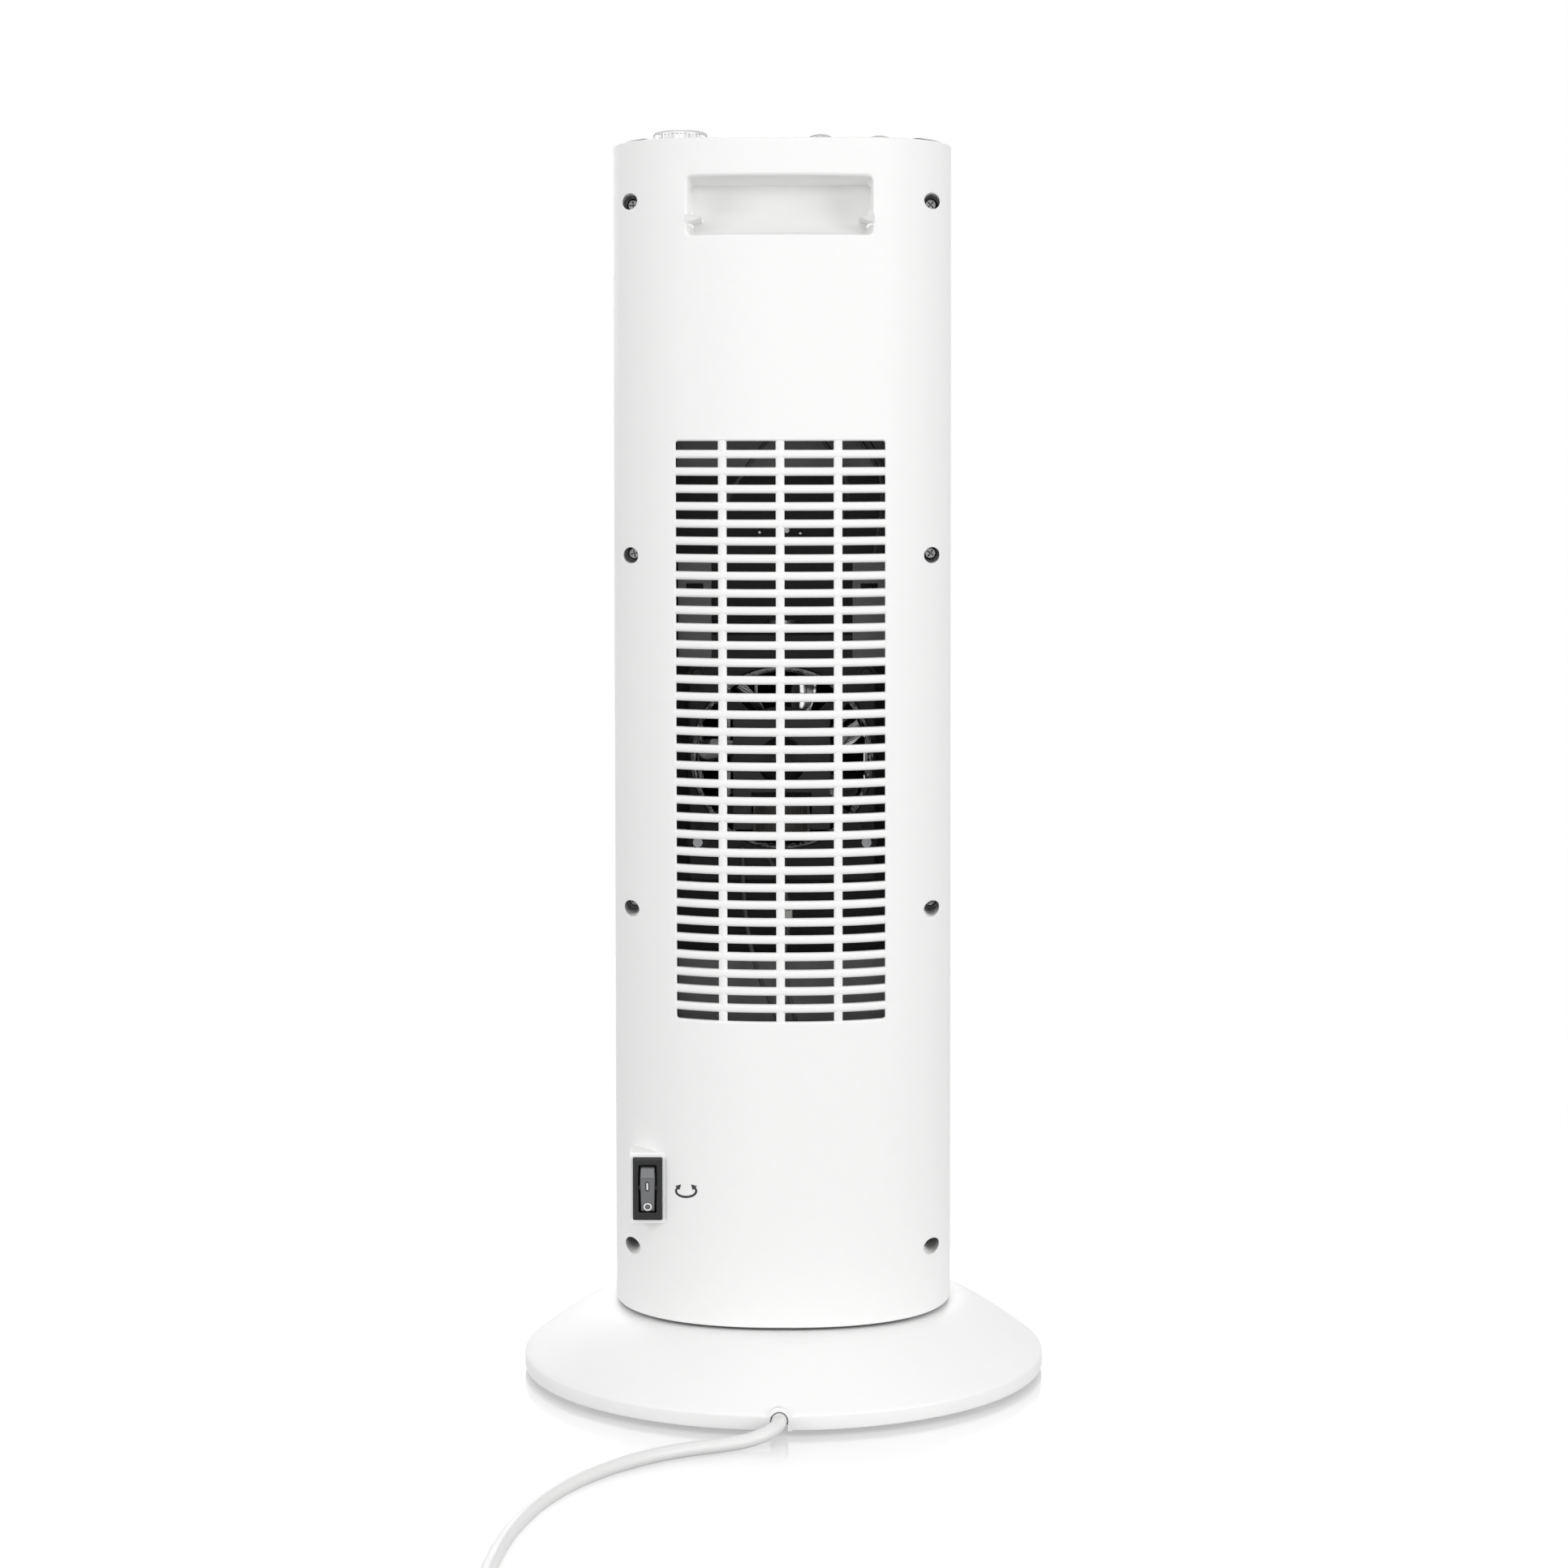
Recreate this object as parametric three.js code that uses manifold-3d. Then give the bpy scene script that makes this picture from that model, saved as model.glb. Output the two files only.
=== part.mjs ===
// Oscillating ceramic tower heater: a round base, a turning tower and a coiled mains cord.
// Millimetres, +Z up. The origin is the centre of the base on the floor.
// The outlet at the front faces -Y and the intake grille at the rear faces +Y.
import * as THREE from 'three';
import { mergeVertices } from 'three/addons/utils/BufferGeometryUtils.js';
import Module from 'manifold-3d';

const wasm = await Module();
wasm.setup();

// Shared clearances and counts
const clearance = 0.3;
const cutOverrun = 6;
const weldDistance = 0.0001;
const screwCrownShare = 0.8;
const roundSides = 24;
const bossSides = 10;
const smallSides = 8;
const capSides = 18;
const wireSides = 8;
const quarterTurn = Math.PI / 2;
const fullTurn = Math.PI * 2;

// Base
const baseRadius = 132;
const baseSides = 48;
const basePlateLow = 2.4;
const basePlateThickness = 2.4;
const lipTop = 9.6;
const shoulderInset = 19;
const shoulderRadius = baseRadius - shoulderInset;
const shoulderTop = 23.6;
const plateauInset = 39;
const plateauRadius = baseRadius - plateauInset;
const plateauTop = 36.4;
const baseWall = 2.5;
const exitArchRadius = 4.15;
const exitHeight = 7.25;
const exitHoodWall = 2;
const exitHoodLength = 10;
const exitSlotLength = 35;
const baseScrewInset = 32;
const baseScrewCircle = baseRadius - baseScrewInset;
const baseScrewCount = 3;
const baseScrewTurnShare = 1 / 12;
const baseBossRadius = 4.6;
const baseScrewHeadRadius = 3.2;
const baseScrewHeadHeight = 1.4;
const baseScrewShankRadius = 1.5;
const baseScrewLength = 14;
const footInset = 14.2;
const footReach = baseRadius - footInset;
const footTurnShare = 0.10296;
const footRadius = 7;
const footStemRadius = 2.2;
const footStemHeight = 6;

// Pivot between the base and the tower
const pivotBoreRadius = 11;
const pivotSleeveRadius = 13;
const pivotSpigotRadius = 16;
const slideRingRadius = 42;
const slideRingWall = 0.7;
const slideRingHeight = 1.2;

// Oscillation drive
const gearModule = 1.25;
const gearHeight = 6;
const gearBacklash = 0.3;
const pressureAngle = Math.PI / 9;
const sectorTeeth = 60;
const sectorCutTeeth = 17;
const sectorHubRadius = 24;
const pinionTeeth = 15;
const addendumShare = 0.9;
const dedendumShare = 1.25;
const driveMotorRadius = 25;
const driveMotorHeight = 18;
const driveShaftRadius = 3;
const driveShaftDrop = 14;
const driveEarLength = 7;
const driveEarWidth = 12;
const driveEarThickness = 1.6;

// Tip-over switch
const tipSwitchX = 52;
const tipSwitchY = 34;
const tipSwitchLength = 20;
const tipSwitchWidth = 13;
const tipSwitchHeight = 15;
const tipPlungerRadius = 3;
const tipPlungerHeight = 15;

// Tower shell
const towerBottom = 37.9;
const towerTop = 619;
const towerHalfWidth = 85;
const rearDepth = 78;
const frontDepth = 75;
const shellWall = 2.5;
const curvePowerShare = 2.3;
const cornerSteps = 4;
const partingGap = 0.3;
const bottomPlateThickness = 3;
const ledgeWidth = 4;
const ledgeHeight = 3;

// Shell screws, two columns that are driven from the rear
const shellScrewX = 74.4;
const shellScrewLowRise = 32.8;
const shellScrewTopDrop = 29.5;
const shellScrewShares = [0, 0.325944, 0.664032, 1];
const shellScrewSeat = 10;
const shellScrewHoleRadius = 4;
const shellBossRadius = 5.7;
const shellBossFloor = 3;
const frontBossRadius = 4.4;
const shellScrewHeadRadius = 3.4;
const shellScrewHeadHeight = 2.4;
const shellScrewShankRadius = 1.6;
const shellScrewLength = 18;

// Intake grille in the rear shell
const ribPitch = 28.1;
const ribWidth = 4.2;
const grilleHalfWidth = 51;
const slotHeight = 4.3;
const slotPitch = 8.445;
const lowestSlot = 190.9;
const highestSlotDrop = 149.1;
const slotRows = Math.floor((towerTop - highestSlotDrop - lowestSlot) / slotPitch) + 1;

// Handle recess in the rear shell
const handleHalfWidth = 46;
const handleTopDrop = 19;
const handleHeight = 28.5;
const handleTop = towerTop - handleTopDrop;
const handleBottom = handleTop - handleHeight;
const handleLipDrop = 3.4;
const handleLipDepth = 10;
const handleDepth = 30;
const handleWall = 2;

// Outlet grille in the front shell
const outletHalfWidth = 48;
const outletLow = 190;
const outletTopDrop = 181;
const outletHigh = towerTop - outletTopDrop;
const outletOverlap = 3;
const louvrePitch = 15.4;
const louvreGap = 10.6;
const outletThickness = 2.5;

// Controls on the top panel
const panelThickness = 4.3;
const panelEdge = 0.35;
const panelCrown = 2.4;
const panelCrownSteps = 4;
const panelReachShare = 1.1;
const controlY = -8;
const knobX = 51.75;
const knobRadius = 14;
const knobHeight = 7.5;
const knobFloat = 0.4;
const knobRibs = 40;
const knobRibDepth = 0.6;
const knobEdge = 1.6;
const thermostatShaftRadius = 3;
const thermostatShaftLength = 22;
const thermostatLength = 30;
const thermostatWidth = 26;
const thermostatHeight = 20;
const buttonXs = [-19.1, -49];
const buttonRadius = 6;
const buttonRise = 5.87;
const buttonFlangeRadius = 7.4;
const buttonFlangeHeight = 1.5;
const buttonDomeSteps = 3;
const buttonDomeHeight = 1.8;
const buttonSwitchLength = 19;
const buttonSwitchWidth = 22;
const buttonSwitchHeight = 24;
const buttonWellDepth = 6;
const buttonWellRadius = 8;

// Rocker switch for the oscillation
const rockerX = 65.9;
const rockerZ = 103.6;
const padFace = 62.5;
const padRoot = 36;
const padHalfWidth = 9.1;
const padHalfHeight = 17.6;
const padTopSlope = 0.8;
const bezelHalfWidth = 7.3;
const bezelHalfHeight = 15.55;
const bezelThickness = 2;
const bezelBevel = 0.6;
const housingHalfWidth = 6;
const housingHalfHeight = 14.2;
const housingDepth = 19;
const windowHalfWidth = 4.35;
const windowHalfHeight = 11.75;
const windowDepth = 13;
const rockerTilt = Math.PI / 15;
const rockerHalfLength = 10.6;
const rockerCrest = 5;
const rockerFold = 5;
const rockerTip = 2.6;
const rockerShoulder = 4.5;
const rockerRoot = 2;
const rockerKeel = 6;
const rockerKeelHalfWidth = 2.5;
const rockerPivotSet = 3.9;
const rockerPinRadius = 1.2;
const rockerPinReach = 1;

// Fan and heater module
const fanDrop = 17.4;
const fanHeight = (lowestSlot + towerTop - highestSlotDrop) / 2 - fanDrop;
const ductHalfWidth = 47;
const ductHalfHeight = 62;
const ductWall = 2.5;
const ductFront = -34;
const ductRear = 22;
const shroudThickness = 10;
const shroudRadius = 44;
const ductScrewReach = 42.3;
const ductScrewHeadRadius = 3.2;
const ductScrewHeadHeight = 2;
const ductScrewShankRadius = 1.5;
const ductScrewLength = 11;
const partitionHalfWidth = 66;
const partitionLow = 173;
const partitionTopDrop = 138;
const partitionHigh = towerTop - partitionTopDrop;
const partitionFace = -12;
const partitionThickness = 3;
const shelfHalfWidth = 54;
const shelfGap = 20;
const shelfReach = rearDepth - shelfGap;
const ductPostX = 58;
const ductPostZ = 40;
const ductPostRadius = 4;
const impellerRadius = 42;
const impellerHubRadius = 13;
const impellerHubLength = 15;
const impellerY = 13.5;
const bladeCount = 7;
const bladeChord = 19;
const bladeThickness = 1.6;
const bladePitch = 0.65;
const bladeRootShare = 0.8;
const bracketThickness = 2.5;
const bracketArmWidth = 8;
const bracketDiscRadius = 26;
const bracketSpacer = 3.5;
const bracketSpacerRadius = 3;
const bracketSpacerX = 18.5;
const bracketSpacerZ = 16;
const coreHalfWidth = 24;
const coreTop = 22;
const coreBottom = -34;
const coreThickness = 14;
const coreBoreRadius = 12;
const coreWindowHalfWidth = 15;
const coreWindowTop = -15.5;
const coreLimb = 8;
const windingThickness = 6;
const windingHalfLength = 14;
const rotorGap = 0.5;
const motorShaftRadius = 1.6;
const bearingHalfWidth = 22;
const bearingHalfHeight = 5;
const bearingThickness = 2;
const bearingHubRadius = 5;
const bearingHubLength = 6;
const heaterThickness = 16;
const heaterFrontGap = 2;
const heaterFinCount = 7;
const heaterFinDepth = 3;
const heaterFinShare = 0.6;
const cutoutRadius = 8;
const cutoutHeight = 6;

// Wiring
const terminalHalfLength = 22;
const terminalHalfWidth = 9;
const terminalHeight = 16;
const terminalFloor = 56;
const terminalPostWidth = 6;
const wireRadius = 1.5;
const supplyWirePlaces = [
  [14, 0],
  [24, 6],
  [46, 16],
  [60, 23],
  [61, 24],
  [61, 24],
  [61, 24],
  [60, 22],
  [55, 8],
  [52.5, -6],
  [52.5, -8],
  [52.5, -8],
];
const supplyWireShares = [
  0, 0.037739, 0.099042, 0.168008, 0.340421, 0.512835, 0.685249, 0.800192, 0.888314, 0.957280, 0.984100, 1,
];
const supplyWireSteps = 18;

// Mains cord, its route chosen by hand from the relief to the coil, as [x, y past the relief's tip, z]
const cordRadius = 3.4;
const cordSides = 8;
const cordSteps = 34;
const reliefInnerInset = 20;
const reliefTipReach = 2;
const reliefInner = baseRadius - reliefInnerInset;
const reliefTip = baseRadius + reliefTipReach;
const reliefRadius = 3.85;
const reliefTipRadius = 3.55;
const reliefFlangeHalfWidth = 6.5;
const reliefFlangeTop = 12.8;
const reliefFlangeThickness = 3;
const cordRoutePoints = [
  [0, 0.3, 7.25],
  [0.3, 3.3, 7.2],
  [2, 8, 6.7],
  [5.4, 12.6, 5.8],
  [10.2, 16.4, 4.7],
  [17.5, 20.1, 3.7],
  [30.9, 26.5, 3.4],
  [43.7, 32.7, 3.4],
  [55.6, 40.5, 3.4],
  [66.5, 50.3, 3.4],
  [77.2, 62.4, 3.4],
  [87.1, 76.9, 3.4],
  [96.3, 94.8, 3.4],
  [104.4, 116.8, 3.4],
  [110.5, 141.5, 3.4],
  [114.6, 168.1, 3.4],
  [117, 197.9, 3.4],
  [118, 230.7, 3.4],
  [118, 260.5, 3.4],
  [118, 289.9, 3.4],
];
const innerLeadHeight = 9.2;
const innerLeadRise = 12;
const innerLeadBend = 27;
const innerLeadSteps = 22;

// Coil of the cord: it spirals in on the floor and out again on the layer above
const coilPitch = 7.5;
const coilLayer = 7.5;
const coilInnerRadius = 24.5;
const coilTurnsIn = 2.75;
const coilTurnsOut = 2.5;
const coilClimbTurns = 0.5;
const stepsPerLoop = 24;
const coilSides = 6;
const tailRun = 48;
const tailSteps = 6;

// Plug
const plugRadius = 18.2;
const plugGripRadius = 11;
const plugNeckRadius = 5;
const plugNeckLength = 16;
const plugGripLength = 12;
const plugHeadLength = 14;
const plugLength = 46;
const plugEdge = 1.5;
const plugPinRadius = 2.4;
const plugPinLength = 19;
const plugPinSeat = 8;
const plugPinSpacing = 19;

// Values that several pieces share
const cordRoute = cordRoutePoints.map(([x, out, z]) => [x, reliefTip + out, z]);
const basePlateTop = basePlateLow + basePlateThickness;
const basePlateRadius = baseRadius - baseWall - clearance;
const coverHoleRadius = pivotSpigotRadius + clearance + slideRingWall + clearance;
const coverInnerTop = plateauTop - baseWall;
const gearTop = coverInnerTop - 2 * clearance;
const gearLow = gearTop - gearHeight;
const bottomPlateTop = towerBottom + bottomPlateThickness;
const panelLow = towerTop - panelThickness;
const sectorPitchRadius = (gearModule * sectorTeeth) / 2;
const pinionPitchRadius = (gearModule * pinionTeeth) / 2;
const gearDistance = sectorPitchRadius + pinionPitchRadius;
const rockerPivotY = padFace + bezelThickness - rockerPivotSet;
const coreLow = ductRear + bracketThickness + bracketSpacer;
const coreHigh = coreLow + coreThickness;
const cutoutY = partitionFace + partitionThickness + cutoutRadius + clearance;
const frontBossTop = shellScrewSeat - shellBossFloor - clearance;
const coilOuterRadius = coilInnerRadius + coilPitch * coilTurnsIn;
const panelInset = shellWall + clearance;
const panelTop = towerTop + panelEdge + panelCrown;
const knobLow = crownHeight(knobX - knobRadius, controlY) + knobFloat;
const shaftTop = knobLow + knobHeight / 2;

const finishes = {
  shell: { color: 0xeeeeec, roughness: 0.45, metalness: 0 },
  base: { color: 0xececea, roughness: 0.4, metalness: 0 },
  dark: { color: 0x222325, roughness: 0.6, metalness: 0 },
  panel: { color: 0x1c1c1e, roughness: 0.35, metalness: 0 },
  silver: { color: 0xc8c9ca, roughness: 0.3, metalness: 0.9 },
  grey: { color: 0x77787a, roughness: 0.5, metalness: 0 },
  steel: { color: 0x9a9b9d, roughness: 0.4, metalness: 1 },
  darkSteel: { color: 0x3c3d3f, roughness: 0.45, metalness: 0.9 },
  tape: { color: 0x2c2824, roughness: 0.6, metalness: 0 },
  brass: { color: 0xb59a56, roughness: 0.35, metalness: 1 },
  aluminium: { color: 0xb9babc, roughness: 0.4, metalness: 1 },
  nylon: { color: 0xdedcd2, roughness: 0.5, metalness: 0 },
  rubber: { color: 0xd2d1cc, roughness: 0.8, metalness: 0 },
  cord: { color: 0xf0f0ee, roughness: 0.5, metalness: 0 },
  wire: { color: 0x2b2b2d, roughness: 0.6, metalness: 0 },
};
const materials = Object.fromEntries(
  Object.entries(finishes).map(([name, finish]) => [name, new THREE.MeshStandardMaterial(finish)]),
);

// Signed volume of an indexed mesh, positive when its faces point out
function signedVolume(points, triangles) {
  const a = new THREE.Vector3();
  const b = new THREE.Vector3();
  const c = new THREE.Vector3();
  let sum = 0;
  for (let i = 0; i < triangles.length; i += 3) {
    a.fromArray(points, triangles[i] * 3);
    b.fromArray(points, triangles[i + 1] * 3);
    c.fromArray(points, triangles[i + 2] * 3);
    sum += a.dot(b.cross(c)) / 6;
  }
  return sum;
}

// A closed geometry as a solid that can be joined and cut
function solidOf(geometry) {
  const bare = new THREE.BufferGeometry();
  bare.setAttribute('position', geometry.getAttribute('position'));
  bare.setIndex(geometry.getIndex());
  const merged = mergeVertices(bare, weldDistance);
  const points = new Float32Array(merged.getAttribute('position').array);
  const index = merged.getIndex().array;
  const triangles = [];
  for (let i = 0; i < index.length; i += 3) {
    const [a, b, c] = [index[i], index[i + 1], index[i + 2]];
    if (a !== b && b !== c && c !== a) {
      triangles.push(a, b, c);
    }
  }
  if (signedVolume(points, triangles) < 0) {
    triangles.reverse();
  }
  return new wasm.Manifold(
    new wasm.Mesh({ numProp: 3, vertProperties: points, triVerts: new Uint32Array(triangles) }),
  );
}

// A solid as a geometry with flat-shaded normals
function geometryOf(solid) {
  const mesh = solid.getMesh();
  const geometry = new THREE.BufferGeometry();
  geometry.setAttribute('position', new THREE.BufferAttribute(new Float32Array(mesh.vertProperties), 3));
  geometry.setIndex(new THREE.BufferAttribute(new Uint32Array(mesh.triVerts), 1));
  geometry.computeVertexNormals();
  return geometry;
}

function joined(solids) {
  return solids.reduce((whole, next) => whole.add(next));
}

function block(lowX, highX, lowY, highY, lowZ, highZ) {
  const geometry = new THREE.BoxGeometry(highX - lowX, highY - lowY, highZ - lowZ);
  geometry.translate((lowX + highX) / 2, (lowY + highY) / 2, (lowZ + highZ) / 2);
  return solidOf(geometry);
}

function rodZ(radius, lowZ, highZ, x = 0, y = 0, sides = bossSides) {
  const geometry = new THREE.CylinderGeometry(radius, radius, highZ - lowZ, sides);
  geometry.rotateX(quarterTurn);
  geometry.translate(x, y, (lowZ + highZ) / 2);
  return solidOf(geometry);
}

function rodY(radius, lowY, highY, x = 0, z = 0, sides = bossSides) {
  const geometry = new THREE.CylinderGeometry(radius, radius, highY - lowY, sides);
  geometry.translate(x, (lowY + highY) / 2, z);
  return solidOf(geometry);
}

function rodX(radius, lowX, highX, y = 0, z = 0, sides = bossSides) {
  const geometry = new THREE.CylinderGeometry(radius, radius, highX - lowX, sides);
  geometry.rotateZ(quarterTurn);
  geometry.translate((lowX + highX) / 2, y, z);
  return solidOf(geometry);
}

// A profile of [radius, height] pairs turned about the Z axis
function turned(profile, sides = roundSides) {
  const points = profile.map(([radius, height]) => new THREE.Vector2(radius, height));
  const geometry = new THREE.LatheGeometry(points, sides);
  geometry.rotateX(quarterTurn);
  return solidOf(geometry);
}

function extruded(outline, depth) {
  const shape = new THREE.Shape(outline.map(([a, b]) => new THREE.Vector2(a, b)));
  return new THREE.ExtrudeGeometry(shape, { depth, bevelEnabled: false, steps: 1 });
}

// An outline of [x, y] pairs extruded up
function prismZ(outline, lowZ, highZ) {
  const geometry = extruded(outline, highZ - lowZ);
  geometry.translate(0, 0, lowZ);
  return solidOf(geometry);
}

// An outline of [y, z] pairs extruded along X
function prismX(outline, lowX, highX) {
  const geometry = extruded(outline, highX - lowX);
  const axes = [new THREE.Vector3(0, 1, 0), new THREE.Vector3(0, 0, 1), new THREE.Vector3(1, 0, 0)];
  geometry.applyMatrix4(new THREE.Matrix4().makeBasis(...axes));
  geometry.translate(lowX, 0, 0);
  return solidOf(geometry);
}

// A cord or wire: a polygon section drawn along a smooth curve through the points
function tubeAlong(points, radius, sides, steps) {
  const route = points.map((p) => new THREE.Vector3(...p));
  const curve = new THREE.CatmullRomCurve3(route, false, 'centripetal');
  const section = new THREE.Shape();
  for (let i = 0; i < sides; i += 1) {
    const angle = (fullTurn * (i + 1 / 2)) / sides;
    const at = [radius * Math.cos(angle), radius * Math.sin(angle)];
    if (i === 0) {
      section.moveTo(...at);
    } else {
      section.lineTo(...at);
    }
  }
  return new THREE.ExtrudeGeometry(section, { steps, extrudePath: curve, bevelEnabled: false });
}

// A mesh of one sub-part, hung in its group
function piece(group, name, shape, material, position = [0, 0, 0]) {
  const geometry = shape.isBufferGeometry ? shape : geometryOf(shape);
  const mesh = new THREE.Mesh(geometry, materials[material]);
  mesh.name = name;
  mesh.position.set(...position);
  group.add(mesh);
  return mesh;
}

// A pan-head screw that points down its own -Z axis
function screw(headRadius, headHeight, shankRadius, length) {
  return turned(
    [
      [0, -length],
      [shankRadius, -length],
      [shankRadius, 0],
      [headRadius, 0],
      [headRadius * screwCrownShare, headHeight],
      [0, headHeight],
    ],
    smallSides,
  );
}

// One half of the tower's outline, from +X over to -X, inset from the outer surface.
// Corners of the outline lie on the grille's ribs, so that each slot cuts a single flat.
function halfOutline(inset, side) {
  const width = towerHalfWidth - inset;
  const reach = (side > 0 ? rearDepth : frontDepth) - inset;
  const heightAt = (x) => reach * (1 - (x / width) ** curvePowerShare) ** (1 / curvePowerShare);
  const flatEnd = 2 * ribPitch;
  const startAngle = Math.acos((flatEnd / width) ** (curvePowerShare / 2));
  const half = [
    [0, reach],
    [ribPitch, heightAt(ribPitch)],
  ];
  for (let i = 0; i < cornerSteps; i += 1) {
    const x = width * Math.cos((startAngle * (cornerSteps - i)) / cornerSteps) ** (2 / curvePowerShare);
    half.push([x, heightAt(x)]);
  }
  half.splice(2, 1, [flatEnd, heightAt(flatEnd)]);
  const edge = side > 0 ? 0 : partingGap;
  half.push([width, edge]);
  for (let i = half.length - 2; i > 2; i -= 1) {
    half[i][0] = Math.min(half[i][0], width);
  }
  const right = half.map(([x, y]) => [x, side * y]);
  const left = right.slice(1).map(([x, y]) => [-x, y]);
  return [...right.reverse(), ...left];
}

// The same half outline, carried on past the parting plane so that it cuts right through
function cavityOutline(inset, side) {
  const width = towerHalfWidth - inset;
  const past = -side * cutOverrun;
  return [[width, past], ...halfOutline(inset, side), [-width, past]];
}

// The whole outline of the tower's inside, for plates that lie across it
function wholeOutline(inset) {
  const rear = halfOutline(inset, 1);
  const front = halfOutline(inset, -1).reverse();
  return [...rear, ...front];
}

function halfShell(side) {
  const wall = prismZ(halfOutline(0, side), towerBottom, towerTop).subtract(
    prismZ(cavityOutline(shellWall, side), towerBottom - cutOverrun, towerTop + cutOverrun),
  );
  const ledges = [bottomPlateTop, panelLow - ledgeHeight].map((low) =>
    prismZ(halfOutline(shellWall / 2, side), low, low + ledgeHeight).subtract(
      prismZ(cavityOutline(shellWall + ledgeWidth, side), low - cutOverrun, low + ledgeHeight + cutOverrun),
    ),
  );
  return joined([wall, ...ledges]);
}

function shellScrewPlaces() {
  const low = towerBottom + shellScrewLowRise;
  const high = towerTop - shellScrewTopDrop;
  return shellScrewShares.flatMap((share) => {
    const z = low + share * (high - low);
    return [
      [shellScrewX, z],
      [-shellScrewX, z],
    ];
  });
}

// Outline of the handle recess as [y, z] pairs, grown by a wall for the cup that lines it
function handleProfile(grow) {
  const outside = rearDepth + cutOverrun;
  const lipY = rearDepth - handleLipDepth;
  const lipZ = handleTop - handleLipDrop + grow;
  const back = rearDepth - handleDepth - grow;
  const floor = handleBottom - grow;
  const rise = lipZ - floor;
  const run = rearDepth - back;
  const outline = [
    [outside, handleTop + grow],
    [rearDepth, handleTop + grow],
    [lipY, lipZ],
    [back, lipZ],
  ];
  const curveSteps = 5;
  for (let i = 1; i <= curveSteps; i += 1) {
    const angle = (quarterTurn * i) / curveSteps;
    outline.push([back + run * (1 - Math.cos(angle)), lipZ - rise * Math.sin(angle)]);
  }
  outline.push([outside, floor]);
  return outline;
}

function intakeSlots() {
  const columns = [
    [-grilleHalfWidth, -ribPitch - ribWidth / 2],
    [-ribPitch + ribWidth / 2, -ribWidth / 2],
    [ribWidth / 2, ribPitch - ribWidth / 2],
    [ribPitch + ribWidth / 2, grilleHalfWidth],
  ];
  const slots = [];
  for (let row = 0; row < slotRows; row += 1) {
    const low = lowestSlot + row * slotPitch - slotHeight / 2;
    for (const [left, right] of columns) {
      slots.push(block(left, right, rearDepth / 2, rearDepth + cutOverrun, low, low + slotHeight));
    }
  }
  return joined(slots);
}

function rearShell() {
  const outside = prismZ(halfOutline(0, 1), towerBottom, towerTop);
  const bossLow = shellScrewSeat - shellBossFloor;
  const bosses = joined(
    shellScrewPlaces().map(([x, z]) => rodY(shellBossRadius, bossLow, rearDepth, x, z)),
  ).intersect(outside);
  const pad = prismX(
    [
      [padRoot, rockerZ - padHalfHeight],
      [padFace, rockerZ - padHalfHeight],
      [padFace, rockerZ + padHalfHeight],
      [padRoot, rockerZ + padHalfHeight + padTopSlope],
    ],
    rockerX - padHalfWidth,
    rockerX + padHalfWidth,
  );
  const cupReach = handleHalfWidth + handleWall;
  const cup = prismX(handleProfile(handleWall), -cupReach, cupReach).intersect(outside);
  const body = joined([halfShell(1), bosses, pad, cup]);
  const screwHoles = shellScrewPlaces().flatMap(([x, z]) => [
    rodY(shellScrewHoleRadius, shellScrewSeat, rearDepth + cutOverrun, x, z),
    rodY(shellScrewShankRadius + clearance, bossLow - cutOverrun, rearDepth, x, z, smallSides),
  ]);
  const rockerHole = block(
    rockerX - housingHalfWidth - clearance,
    rockerX + housingHalfWidth + clearance,
    padRoot - cutOverrun,
    padFace + cutOverrun,
    rockerZ - housingHalfHeight - clearance,
    rockerZ + housingHalfHeight + clearance,
  );
  const recess = prismX(handleProfile(0), -handleHalfWidth, handleHalfWidth);
  return body.subtract(joined([...screwHoles, rockerHole, recess, intakeSlots()]));
}

function ductPosts() {
  return [
    [ductPostX, ductPostZ],
    [-ductPostX, ductPostZ],
    [ductPostX, -ductPostZ],
    [-ductPostX, -ductPostZ],
  ];
}

function frontShell() {
  const outside = prismZ(halfOutline(0, -1), towerBottom, towerTop);
  const bosses = joined(
    shellScrewPlaces().map(([x, z]) => rodY(frontBossRadius, -frontDepth, frontBossTop, x, z, smallSides)),
  );
  const posts = joined(
    ductPosts().map(([x, z]) => rodY(ductPostRadius, -frontDepth, partitionFace, x, fanHeight + z, smallSides)),
  );
  const behindParting = block(
    -towerHalfWidth,
    towerHalfWidth,
    -partingGap,
    frontBossTop + cutOverrun,
    towerBottom,
    towerTop,
  );
  const inside = outside.add(behindParting);
  const body = joined([halfShell(-1), bosses.intersect(inside), posts.intersect(inside)]);
  const pilots = shellScrewPlaces().map(([x, z]) =>
    rodY(
      shellScrewShankRadius + clearance,
      shellScrewSeat - shellScrewLength - 2 * clearance,
      frontBossTop + cutOverrun,
      x,
      z,
      smallSides,
    ),
  );
  const outlet = block(
    -outletHalfWidth,
    outletHalfWidth,
    -frontDepth - cutOverrun,
    -frontDepth / 2,
    outletLow,
    outletHigh,
  );
  return body.subtract(joined([...pilots, outlet]));
}

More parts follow.
